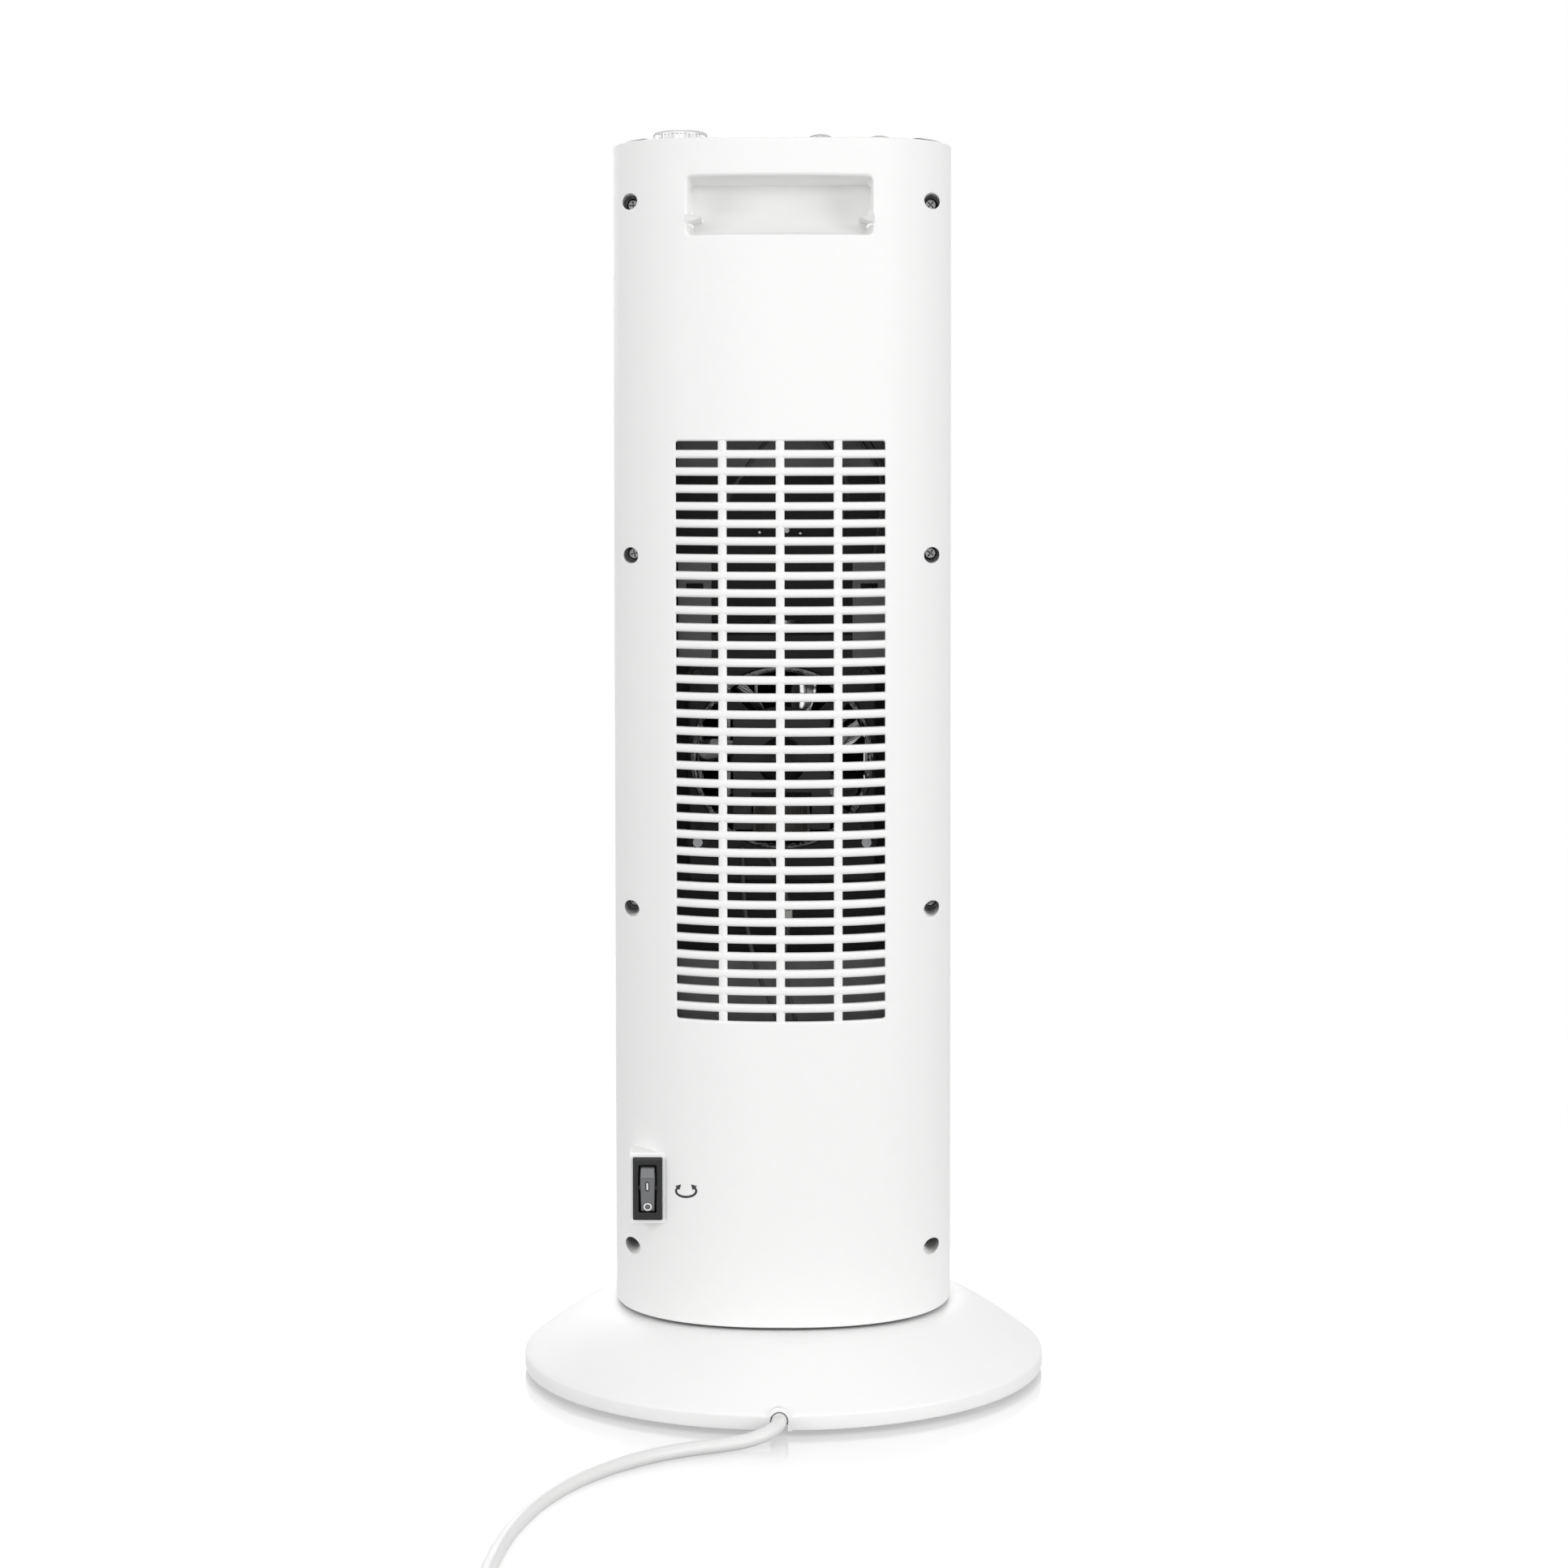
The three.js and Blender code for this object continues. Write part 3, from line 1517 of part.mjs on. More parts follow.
function plugBody() {
  const neckEnd = plugNeckLength;
  const gripEnd = neckEnd + plugGripLength;
  const headLow = plugLength - plugHeadLength;
  const body = turned([
    [0, 0],
    [plugNeckRadius, 0],
    [plugNeckRadius + plugEdge, neckEnd],
    [plugGripRadius, neckEnd + plugEdge],
    [plugGripRadius, gripEnd],
    [plugRadius, headLow],
    [plugRadius, plugLength - plugEdge],
    [plugRadius - plugEdge, plugLength],
    [0, plugLength],
  ]);
  const holes = [-1, 1].map((side) =>
    rodZ(
      plugPinRadius + clearance,
      plugLength - plugPinSeat - clearance,
      plugLength + cutOverrun,
      0,
      (side * plugPinSpacing) / 2,
    ),
  );
  return body.subtract(joined(holes));
}

function plugPin() {
  const edge = plugPinRadius / 2;
  return turned(
    [
      [0, 0],
      [plugPinRadius, 0],
      [plugPinRadius, plugPinSeat + plugPinLength - edge],
      [plugPinRadius - edge, plugPinSeat + plugPinLength],
      [0, plugPinSeat + plugPinLength],
    ],
    bossSides,
  );
}

const heater = new THREE.Group();
const base = new THREE.Group();
const tower = new THREE.Group();
const fanModule = new THREE.Group();
const plug = new THREE.Group();
heater.add(base, tower);
tower.add(fanModule);
base.add(plug);
fanModule.position.set(0, 0, fanHeight);

// Base pieces
piece(base, 'base_cover', baseCover(), 'base');
piece(base, 'base_plate', basePlate(), 'dark');
footPlaces().forEach(([x, y], i) => piece(base, `foot_${i + 1}`, foot(), 'rubber', [x, y, 0]));
baseScrewPlaces().forEach(([x, y], i) => {
  const shape = screw(baseScrewHeadRadius, baseScrewHeadHeight, baseScrewShankRadius, baseScrewLength);
  const seat = basePlateLow + baseScrewHeadHeight;
  const mesh = piece(base, `base_screw_${i + 1}`, shape, 'darkSteel', [x, y, seat]);
  mesh.rotation.x = Math.PI;
});
piece(base, 'slide_ring', slideRing(), 'nylon');
piece(base, 'oscillation_motor', driveMotor(), 'steel', [0, -gearDistance, 0]);
piece(base, 'oscillation_pinion', pinion(), 'nylon', [0, -gearDistance, 0]);
piece(base, 'tip_switch', tipSwitch(), 'dark', [tipSwitchX, tipSwitchY, basePlateTop]);
piece(base, 'tip_plunger', tipPlunger(), 'nylon', [tipSwitchX, tipSwitchY, 0]);
piece(base, 'cord_relief', cordRelief(), 'cord');
piece(base, 'inner_lead', tubeAlong(innerLeadPoints(), cordRadius, cordSides, innerLeadSteps), 'cord');

// Tower pieces
piece(tower, 'rear_shell', rearShell(), 'shell');
piece(tower, 'front_shell', frontShell(), 'shell');
piece(tower, 'outlet_grille', outletGrille(), 'dark');
piece(tower, 'top_panel', topPanel(), 'panel');
piece(tower, 'bottom_plate', bottomPlate(), 'dark');
piece(tower, 'sector_gear', sectorGear(), 'nylon');
piece(tower, 'terminal_block', terminalBlock(), 'nylon', [0, 0, terminalFloor]);
shellScrewPlaces().forEach(([x, z], i) => {
  const shape = screw(shellScrewHeadRadius, shellScrewHeadHeight, shellScrewShankRadius, shellScrewLength);
  const mesh = piece(tower, `shell_screw_${i + 1}`, shape, 'darkSteel', [x, shellScrewSeat, z]);
  mesh.rotation.x = -quarterTurn;
});
piece(tower, 'thermostat_body', thermostat(), 'dark', [knobX, controlY, 0]);
const shaftBody = rodZ(thermostatShaftRadius, shaftTop - thermostatShaftLength, shaftTop);
piece(tower, 'thermostat_shaft', shaftBody, 'steel', [knobX, controlY, 0]);
piece(tower, 'thermostat_knob', knob(), 'silver', [knobX, controlY, knobLow]);
buttonXs.forEach((x, i) => {
  piece(tower, `button_switch_${i + 1}`, buttonSwitch(), 'dark', [x, controlY, 0]);
  piece(tower, `button_cap_${i + 1}`, buttonCap(x), 'silver', [x, controlY, 0]);
});
piece(tower, 'rocker_housing', rockerHousing(), 'dark', [rockerX, 0, rockerZ]);
const rockerMesh = piece(tower, 'rocker', rocker(), 'grey', [rockerX, rockerPivotY, rockerZ]);
rockerMesh.rotation.x = -rockerTilt;
piece(tower, 'supply_wire', tubeAlong(supplyWirePoints(), wireRadius, wireSides, supplyWireSteps), 'wire');

// Fan and heater pieces
piece(fanModule, 'fan_duct', fanDuct(), 'dark');
piece(fanModule, 'motor_bracket', motorBracket(), 'darkSteel');
ductScrewPlaces().forEach(([x, z], i) => {
  const shape = screw(ductScrewHeadRadius, ductScrewHeadHeight, ductScrewShankRadius, ductScrewLength);
  const seat = ductRear + bracketThickness;
  const mesh = piece(fanModule, `duct_screw_${i + 1}`, shape, 'darkSteel', [x, seat, z]);
  mesh.rotation.x = -quarterTurn;
});
piece(fanModule, 'impeller', impeller(), 'dark', [0, impellerY, 0]);
piece(fanModule, 'motor_shaft', motorShaft(), 'steel');
piece(fanModule, 'motor_core', motorCore(), 'darkSteel');
piece(fanModule, 'motor_winding', motorWinding(), 'tape');
piece(fanModule, 'motor_bearing', motorBearing(), 'steel');
piece(fanModule, 'heater_core', heaterCore(), 'aluminium');
piece(
  fanModule,
  'thermal_cutout',
  rodZ(cutoutRadius, ductHalfHeight, ductHalfHeight + cutoutHeight, 0, cutoutY, roundSides),
  'steel',
);

// Mains cord with its coil and plug
piece(base, 'mains_cord', tubeAlong(cordRoute, cordRadius, cordSides, cordSteps), 'cord');
piece(base, 'cord_coil', sweptTube(coilCentreline(), cordRadius, coilSides), 'cord');
plug.position.set(...plugStart());
plug.rotation.y = -quarterTurn;
piece(plug, 'plug_body', plugBody(), 'cord');
[-1, 1].forEach((side, i) => {
  const seat = plugLength - plugPinSeat;
  piece(plug, `plug_pin_${i + 1}`, plugPin(), 'brass', [0, (side * plugPinSpacing) / 2, seat]);
});
console.log(`least gap between the coil's turns: ${leastCoilGap().toFixed(2)} mm`);

export default heater;
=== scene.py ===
"""Oscillating tower heater seen from its rear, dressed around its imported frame.

The geometry is worked out in millimetres and scaled to metres when a piece is finished.
The rear, with the intake grille, faces +Y and the outlet faces -Y.
"""

import math
from contextlib import contextmanager

import bmesh
import bpy
from mathutils import Matrix, Vector


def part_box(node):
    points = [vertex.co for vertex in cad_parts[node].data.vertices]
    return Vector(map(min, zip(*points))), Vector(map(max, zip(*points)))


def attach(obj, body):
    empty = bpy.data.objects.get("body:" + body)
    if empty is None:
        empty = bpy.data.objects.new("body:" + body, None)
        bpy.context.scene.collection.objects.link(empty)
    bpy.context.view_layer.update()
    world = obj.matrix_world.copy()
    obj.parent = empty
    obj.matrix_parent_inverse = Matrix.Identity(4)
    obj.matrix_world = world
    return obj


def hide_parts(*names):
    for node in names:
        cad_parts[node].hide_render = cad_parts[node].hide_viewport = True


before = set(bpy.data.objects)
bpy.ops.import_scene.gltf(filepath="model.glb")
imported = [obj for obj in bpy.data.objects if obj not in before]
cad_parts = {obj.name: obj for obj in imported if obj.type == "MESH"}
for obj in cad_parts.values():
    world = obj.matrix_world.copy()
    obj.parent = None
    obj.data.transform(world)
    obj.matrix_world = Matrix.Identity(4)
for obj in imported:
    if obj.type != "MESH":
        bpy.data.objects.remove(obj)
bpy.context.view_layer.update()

MM = 0.001
CLEARANCE = 0.3
OVERRUN = 6.0
QUARTER = math.pi / 2
TURN = math.pi * 2

# Tower shell, as in the CAD
TOWER_LOW = 37.9
TOWER_TOP = 619.0
HALF_WIDTH = 85.0
REAR = 1
FRONT = -1
DEPTHS = {REAR: 78.0, FRONT: 75.0}
CURVE_POWER = 2.3
OUTLINE_STEPS = 96
WALL = 2.5
FITTED = WALL + CLEARANCE
RIM_ROUNDING = 0.9
PARTING = 0.3
RIM_DIP = 1.1
RIM_DIP_HALF = 62.0
SCREW_PLACES = [(x, z) for z in (70.7, 239.8, 415.2, 589.5) for x in (74.4, -74.4)]
SCREW_SEAT = 10.0
THREAD_PITCH = 0.9

# Intake grille
RIB_PITCH = 28.1
RIB_XS = (-RIB_PITCH, 0.0, RIB_PITCH)
RIB_WIDTH = 4.2
BAR_STEP = 1.8
GRILLE_HALF = 51.0
SLOT_HEIGHT = 4.3
SLOT_PITCH = 8.445
SLOT_ROWS = 34
SLOT_LOWEST = 190.9

# Base and cord
BASE_RADIUS = 132.0
BASE_LOW = 2.4
BASE_SIDES = 160
PLATEAU_TOP = 36.4
BASE_SCREW_PLACES = [(100 * math.cos(TURN * i / 12), 100 * math.sin(TURN * i / 12)) for i in (1, 5, 9)]
EXIT_HEIGHT = 7.25
ARCH_RADIUS = 4.15
ARCH_ROUNDING = 0.8
CORD_RADIUS = 3.4
RELIEF_INNER = 112.0
RELIEF_TIP = 134.0

# Camera: where the photograph was taken from, with the share of its framing as a shift
CAMERA_PLACE = (-28.59, 1782.05, 476.3)
CAMERA_YAW, CAMERA_PITCH, CAMERA_ROLL = 0.0156661, 0.0470478, -0.0011417
FOCAL_PX, IMAGE_PX, SHIFT_PX = 4338.69, 1932, -230.0


def linked(name, data):
    """A new object in the scene."""
    obj = bpy.data.objects.new(name, data)
    bpy.context.scene.collection.objects.link(obj)
    return obj


def make_camera():
    yaw, pitch, roll = CAMERA_YAW, CAMERA_PITCH, CAMERA_ROLL
    ahead = Vector((math.sin(yaw) * math.cos(pitch), -math.cos(yaw) * math.cos(pitch), -math.sin(pitch)))
    level = Vector((-math.cos(yaw), -math.sin(yaw), 0.0))
    over = level.cross(ahead)
    right = level * math.cos(roll) + over * math.sin(roll)
    up = over * math.cos(roll) - level * math.sin(roll)
    data = bpy.data.cameras.new("photo_camera")
    data.sensor_width = 36.0
    data.lens = FOCAL_PX / IMAGE_PX * data.sensor_width
    data.shift_y = SHIFT_PX / IMAGE_PX
    data.clip_start = 0.05
    data.clip_end = 50.0
    camera = linked("photo_camera", data)
    basis = Matrix((right, up, -ahead)).transposed().to_4x4()
    camera.matrix_world = Matrix.Translation(Vector(CAMERA_PLACE) * MM) @ basis
    bpy.context.scene.camera = camera


# Shapes

PLACES = {"Z": lambda u, v, h: (u, v, h), "X": lambda u, v, h: (h, u, v), "Y": lambda u, v, h: (u, h, v)}
BLOCK_FACES = [(0, 1, 2, 3), (4, 5, 6, 7), (0, 1, 5, 4), (1, 2, 6, 5), (2, 3, 7, 6), (3, 0, 4, 7)]
SHARP_ANGLE = 0.6


@contextmanager
def edited(mesh):
    """A bmesh to change, which is written back to the mesh at the end."""
    bm = bmesh.new()
    bm.from_mesh(mesh)
    yield bm
    bm.to_mesh(mesh)
    bm.free()


def catmull(points, per_span):
    """Points along a centripetal Catmull-Rom curve, as the CAD draws its tubes."""
    route = [Vector(p) for p in points]
    route = [route[0] * 2 - route[1]] + route + [route[-1] * 2 - route[-2]]
    made = []
    for i in range(1, len(route) - 2):
        span = route[i - 1 : i + 3]
        knots = [0.0]
        for a, b in zip(span, span[1:]):
            knots.append(knots[-1] + math.sqrt(max((b - a).length, 1e-6)))
        for k in range(per_span):
            t = knots[1] + (knots[2] - knots[1]) * k / per_span
            level = span
            for size in (1, 2):
                level = [
                    level[j] + (level[j + 1] - level[j]) * ((t - knots[j]) / (knots[j + size] - knots[j]))
                    for j in range(len(level) - 1)
                ]
            made.append(level[0].lerp(level[1], k / per_span))
    made.append(route[-2])
    return made


def mesh_of(points, faces):
    obj = linked("work", bpy.data.meshes.new("work"))
    with edited(obj.data) as bm:
        verts = [bm.verts.new(p) for p in points]
        for face in faces:
            bm.faces.new([verts[i] for i in face])
        bmesh.ops.recalc_face_normals(bm, faces=bm.faces)
    return obj


def loft(rings, ends=True):
    """A solid through rings of points. A ring of one point is a tip; without ends it closes on itself."""
    points = []
    starts = []
    for ring in rings:
        starts.append(len(points))
        points.extend(ring)
    count = max(len(ring) for ring in rings)
    faces = []
    for low in range(len(rings) - 1 if ends else len(rings)):
        high = (low + 1) % len(rings)
        a, b = starts[low], starts[high]
        for k in range(count):
            n = (k + 1) % count
            if len(rings[low]) == 1:
                faces.append((a, b + k, b + n))
            elif len(rings[high]) == 1:
                faces.append((a + k, b, a + n))
            else:
                faces.append((a + k, b + k, b + n, a + n))
    if ends:
        for start, ring in ((starts[0], rings[0]), (starts[-1], rings[-1])):
            if len(ring) > 2:
                faces.append(tuple(range(start, start + len(ring))))
    return mesh_of(points, faces)


def circle(radius, sides):
    return [(radius * math.cos(TURN * i / sides), radius * math.sin(TURN * i / sides)) for i in range(sides)]


def quarter_round(steps):
    """Pairs of shares along a quarter circle, from (0, 1) to (1, 0)."""
    angles = [QUARTER * i / steps for i in range(steps + 1)]
    return [(1 - math.cos(a), 1 - math.sin(a)) for a in angles]


def part_way(low, high, value):
    """How far a value lies from low to high, from 0 to 1."""
    return min(1.0, max(0.0, (value - low) / (high - low)))


def eased(share):
    return share * share * (3 - 2 * share)


def rounded(low_u, high_u, low_v, high_v, radius, steps=4, across=1):
    """A rectangle with round corners as [u, v] pairs, its level sides in across parts."""
    radius = max(radius, 0.02)
    left, right, low, high = low_u + radius, high_u - radius, low_v + radius, high_v - radius
    arcs = []
    for first, (u, v) in enumerate(((right, high), (left, high), (left, low), (right, low))):
        angles = [QUARTER * (first + i / steps) for i in range(steps + 1)]
        arcs.append([(u + radius * math.cos(a), v + radius * math.sin(a)) for a in angles])
    made = []
    for i, arc in enumerate(arcs):
        (u0, v0), (u1, v1) = arc[-1], arcs[(i + 1) % 4][0]
        parts = 1 if i % 2 else across
        made += arc
        made += [(u0 + (u1 - u0) * k / parts, v0 + (v1 - v0) * k / parts) for k in range(1, parts)]
    return made


def lathe(profile, sides=64, centre=(0, 0, 0), axis="Z"):
    """A profile of [radius, height] pairs turned about an axis through the centre."""
    rings = []
    for radius, height in profile:
        pairs = circle(radius, sides) if radius else [(0.0, 0.0)]
        rings.append([Vector(PLACES[axis](a, b, height)) + Vector(centre) for a, b in pairs])
    return loft(rings, ends=not (profile[0][0] and profile[-1][0]))


def rod(radius, low, high, centre, axis, sides=32, edge=0.0):
    profile = [(0, low), (radius - edge, low)]
    if edge:
        profile += [(radius, low + edge), (radius, high - edge)]
    profile += [(radius - edge, high), (0, high)]
    return lathe(profile, sides, centre, axis)


def at_screws(radius, low, high, sides):
    """A rod along Y at each of the shell's screws."""
    return [rod(radius, low, high, (x, 0, z), "Y", sides) for x, z in SCREW_PLACES]


def block(corners, edge=0.0):
    """A solid from the four corners of a face and of its opposite, with a small bevel on its edges."""
    obj = mesh_of(corners, BLOCK_FACES)
    return bevel(obj, edge) if edge else obj


def box(low, high, edge=0.0):
    (x0, y0, z0), (x1, y1, z1) = low, high
    return block([(x, y, z) for z in (z0, z1) for x, y in ((x0, y0), (x1, y0), (x1, y1), (x0, y1))], edge)


def bevel(obj, width):
    with edited(obj.data) as bm:
        bmesh.ops.dissolve_limit(bm, angle_limit=0.002, verts=bm.verts, edges=bm.edges)
        edges = [e for e in bm.edges if len(e.link_faces) == 2 and e.calc_face_angle() > SHARP_ANGLE]
        bmesh.ops.bevel(
            bm, geom=edges, offset=width, segments=2, profile=0.5, affect="EDGES", clamp_overlap=True
        )
        bmesh.ops.recalc_face_normals(bm, faces=bm.faces)
    return obj


def prism(outline, low, high, axis="Z"):
    """An outline of pairs extruded along an axis: [x, y] up Z, [y, z] along X, [x, z] along Y."""
    return loft([[PLACES[axis](u, v, h) for u, v in outline] for h in (low, high)])


def sweep(path, radius, sides=16):
    """A tube along points."""
    route = [Vector(p) for p in path]
    rings = []
    side = None
    for i, at in enumerate(route):
        along = (route[min(i + 1, len(route) - 1)] - route[max(i - 1, 0)]).normalized()
        if side is None:
            side = along.orthogonal().normalized()
        side = (side - along * side.dot(along)).normalized()
        other = along.cross(side)
        rings.append([at + side * a + other * b for a, b in circle(radius, sides)])
    return loft(rings)


def drop(objs):
    for obj in objs:
        mesh = obj.data
        bpy.data.objects.remove(obj)
        bpy.data.meshes.remove(mesh)


def together(objs):
    """Several meshes as one object."""
    made = linked("work", bpy.data.meshes.new("work"))
    with edited(made.data) as bm:
        for obj in objs:
            bm.from_mesh(obj.data)
    drop(objs)
    return made


def applied(obj):
    graph = bpy.context.evaluated_depsgraph_get()
    mesh = bpy.data.meshes.new_from_object(obj.evaluated_get(graph))
    obj.modifiers.clear()
    old = obj.data
    obj.data = mesh
    bpy.data.meshes.remove(old)
    return obj


def triangulated(obj):
    with edited(obj.data) as bm:
        bmesh.ops.triangulate(bm, faces=bm.faces)


def combine(operation, target, others):
    triangulated(target)
    for other in others:
        triangulated(other)
        step = target.modifiers.new("combine", "BOOLEAN")
        step.solver = "MANIFOLD"
        step.operation = operation
        step.object = other
    applied(target)
    drop(others)
    return target


def cut(target, *others):
    return combine("DIFFERENCE", target, others)


def fuse(target, *others):
    return combine("UNION", target, others)


def common(target, *others):
    return combine("INTERSECT", target, others)


def turned_about(obj, angle, axis, centre):
    shift = Matrix.Translation(centre)
    obj.data.transform(shift @ Matrix.Rotation(angle, 4, axis) @ shift.inverted())
    return obj


# Materials


def fill(tree, node, inputs):
    """Puts values, or other nodes' outputs, on a shader node's inputs."""
    for key, value in inputs.items():
        if isinstance(value, bpy.types.NodeSocket):
            tree.links.new(value, node.inputs[key])
        else:
            node.inputs[key].default_value = value


def add_node(tree, kind, inputs, **settings):
    made = tree.nodes.new("ShaderNode" + kind)
    for name, value in settings.items():
        setattr(made, name, value)
    fill(tree, made, inputs)
    return made


def material(name, colour, roughness, metallic=0.0, other=None, grain=300.0, stretch=(1, 1, 1),
             bump=0.05, depth=0.0002, rough_range=0.06, coat=0.0, coat_ior=1.5, subsurface=0.0, wave=None,
             specular=0.5):
    """A surface whose colour, roughness and relief vary with a fine noise in the piece's own space."""
    made = bpy.data.materials.new(name)
    made.use_nodes = True
    tree = made.node_tree
    place = add_node(tree, "TexCoord", {}).outputs["Object"]
    scaled = add_node(tree, "Mapping", {"Vector": place, "Scale": stretch}).outputs["Vector"]
    broad = add_node(tree, "TexNoise", {"Vector": scaled, "Scale": grain / 20, "Detail": 2.0}).outputs["Fac"]
    if wave:
        bands = {"Vector": place, "Scale": wave[1], "Distortion": wave[2]}
        fine = blend = add_node(tree, "TexWave", bands, bands_direction=wave[0]).outputs["Fac"]
    else:
        fine = add_node(tree, "TexNoise", {"Vector": scaled, "Scale": grain, "Detail": 4.0}).outputs["Fac"]
        blend = broad
    other = other or [c * 0.94 for c in colour]
    shades = add_node(tree, "MixRGB", {"Fac": blend, "Color1": (*colour, 1), "Color2": (*other, 1)})
    low, high = roughness - rough_range, roughness + rough_range
    gloss = add_node(tree, "MapRange", {"Value": broad, "To Min": low, "To Max": high})
    relief = add_node(tree, "Bump", {"Height": fine, "Strength": bump, "Distance": depth})
    fill(tree, tree.nodes["Principled BSDF"], {
        "Base Color": shades.outputs["Color"], "Roughness": gloss.outputs["Result"],
        "Normal": relief.outputs["Normal"], "Metallic": metallic, "Specular IOR Level": specular,
        "Coat Weight": coat, "Coat Roughness": 0.08, "Coat IOR": coat_ior,
        "Subsurface Weight": subsurface, "Subsurface Scale": 0.002,
    })
    return made


SHELL = material("shell_plastic", (0.86, 0.86, 0.855), 0.5, grain=2600, bump=0.06, depth=0.00006,
                 other=(0.845, 0.845, 0.842), specular=0.35)
BASE = material("base_plastic", (0.87, 0.87, 0.867), 0.45, grain=2000, bump=0.03, depth=0.00005,
                other=(0.855, 0.855, 0.852))
DARK = material("inner_plastic", (0.014, 0.014, 0.015), 0.5, grain=900, bump=0.15,
                other=(0.022, 0.022, 0.023), specular=0.3)
PANEL = material("panel_plastic", (0.012, 0.012, 0.013), 0.16, grain=1500, bump=0.02, depth=0.00005,
                 rough_range=0.03, coat=0.4)
BEZEL = material("bezel_plastic", (0.014, 0.0145, 0.015), 0.3, grain=1800, bump=0.12, depth=0.00006,
                 other=(0.022, 0.0225, 0.023), specular=0.3)
ROCKER = material("rocker_plastic", (0.14, 0.142, 0.146), 0.38, grain=1800, bump=0.08, depth=0.00006,
                  other=(0.16, 0.162, 0.166))
SATIN = material("satin_metal", (0.6, 0.602, 0.605), 0.34, 0.45, grain=900, stretch=(1, 1, 0.04), bump=0.1,
                 depth=0.00004, other=(0.72, 0.722, 0.727), specular=0.3)
CHROME = material("button_metal", (0.44, 0.442, 0.446), 0.28, 0.5, grain=1200, bump=0.03, depth=0.00002,
                  other=(0.65, 0.652, 0.657), rough_range=0.04, specular=0.3)
STEEL = material("plated_steel", (0.46, 0.465, 0.475), 0.36, 1.0, grain=700, stretch=(1, 1, 0.1), bump=0.15,
                 depth=0.00005, other=(0.36, 0.365, 0.37))
BLACK_STEEL = material("screw_steel", (0.26, 0.26, 0.265), 0.34, 1.0, grain=1600, bump=0.2, depth=0.00005,
                       other=(0.4, 0.395, 0.39))
BLACKENED = material("blackened_steel", (0.016, 0.016, 0.017), 0.5, grain=1200, bump=0.2, depth=0.00005,
                     other=(0.026, 0.026, 0.027), specular=0.3)
LAMINATED = material("core_laminations", (0.03, 0.03, 0.032), 0.5, 0.3, bump=0.6, depth=0.0003,
                     other=(0.015, 0.015, 0.016), wave=("Y", 330, 0.4))
GLOSSY = material("fan_plastic", (0.014, 0.014, 0.015), 0.09, grain=260, bump=0.35, depth=0.0004, coat=1.0,
                  coat_ior=2.4, rough_range=0.03, specular=1.0)
LIP = material("lip_metal", (0.34, 0.34, 0.345), 0.14, 1.0, grain=420, bump=1.0, depth=0.0012,
               rough_range=0.05, other=(0.14, 0.14, 0.142))
# Grey for the duct's side covers; on the two wide sheets above and below the duct the same grey is painted
# shade, standing in for the tower's white inner wall in shadow.
GREY_AND_PAINTED_SHADE = material("grey_plastic_and_painted_shade", (0.2, 0.2, 0.204), 0.55, grain=900, bump=0.1,
                      other=(0.16, 0.16, 0.163))
TAPE = material("winding_tape", (0.045, 0.04, 0.035), 0.42, bump=0.9, depth=0.0004,
                other=(0.025, 0.022, 0.02), wave=("X", 260, 0.8))
BRASS = material("pin_plating", (0.68, 0.66, 0.6), 0.25, 1.0, grain=900, stretch=(0.05, 1, 1), bump=0.06,
                 depth=0.00004, other=(0.58, 0.56, 0.5))
FINS = material("heater_aluminium", (0.6, 0.61, 0.62), 0.38, 1.0, grain=800, bump=0.15, depth=0.00008,
                other=(0.46, 0.47, 0.48))
NYLON = material("white_nylon", (0.72, 0.71, 0.66), 0.42, grain=1100, bump=0.06, subsurface=0.1)
FOOT = material("foot_rubber", (0.56, 0.56, 0.555), 0.7, grain=1400, bump=0.3, depth=0.0001)
CORD = material("cord_sheath", (0.78, 0.78, 0.776), 0.4, grain=1500, bump=0.05, depth=0.00008,
                subsurface=0.05, other=(0.76, 0.76, 0.756))
WIRE = material("wire_sleeve", (0.05, 0.05, 0.053), 0.45, grain=1200, bump=0.1, other=(0.09, 0.09, 0.094))
BLACK_INK = material("black_ink", (0.008, 0.008, 0.009), 0.5, grain=3000, bump=0.1, depth=0.00003)
WHITE_INK = material("white_ink", (0.82, 0.82, 0.82), 0.5, grain=3000, bump=0.1, depth=0.00003)


def dress(obj, name, look, body, nodes=(), angle=SHARP_ANGLE):
    """Finishes a piece: metres, smooth shading between its sharp edges, material and what it stands for."""
    obj.data.transform(Matrix.Scale(MM, 4))
    with edited(obj.data) as bm:
        for face in bm.faces:
            face.smooth = True
        for edge in bm.edges:
            edge.smooth = len(edge.link_faces) == 2 and edge.calc_face_angle() < angle
    obj.name = name
    obj.data.name = name
    obj.data.materials.clear()
    obj.data.materials.append(look)
    step = obj.modifiers.new("normals", "WEIGHTED_NORMAL")
    step.keep_sharp = True
    applied(obj)
    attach(obj, body)
    if nodes:
        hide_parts(*nodes)
    return obj


# Mains cord, from the base to its coil and plug

CORD_ROUTE = [
    (0, 134.3, 7.25), (0.3, 137.3, 7.2), (2, 142, 6.7), (5.4, 146.6, 5.8), (10.2, 150.4, 4.7),
    (17.5, 154.1, 3.7), (30.9, 160.5, 3.4), (43.7, 166.7, 3.4), (55.6, 174.5, 3.4), (66.5, 184.3, 3.4),
    (77.2, 196.4, 3.4), (87.1, 210.9, 3.4), (96.3, 228.8, 3.4), (104.4, 250.8, 3.4), (110.5, 275.5, 3.4),
    (114.6, 302.1, 3.4), (117, 331.9, 3.4), (118, 364.7, 3.4), (118, 394.5, 3.4), (118, 423.9, 3.4),
]
COIL_PITCH = 7.5
COIL_INNER = 24.5
COIL_IN = 2.75
COIL_OUT = 2.5
COIL_CLIMB = 0.5
COIL_OUTER = COIL_INNER + COIL_PITCH * COIL_IN
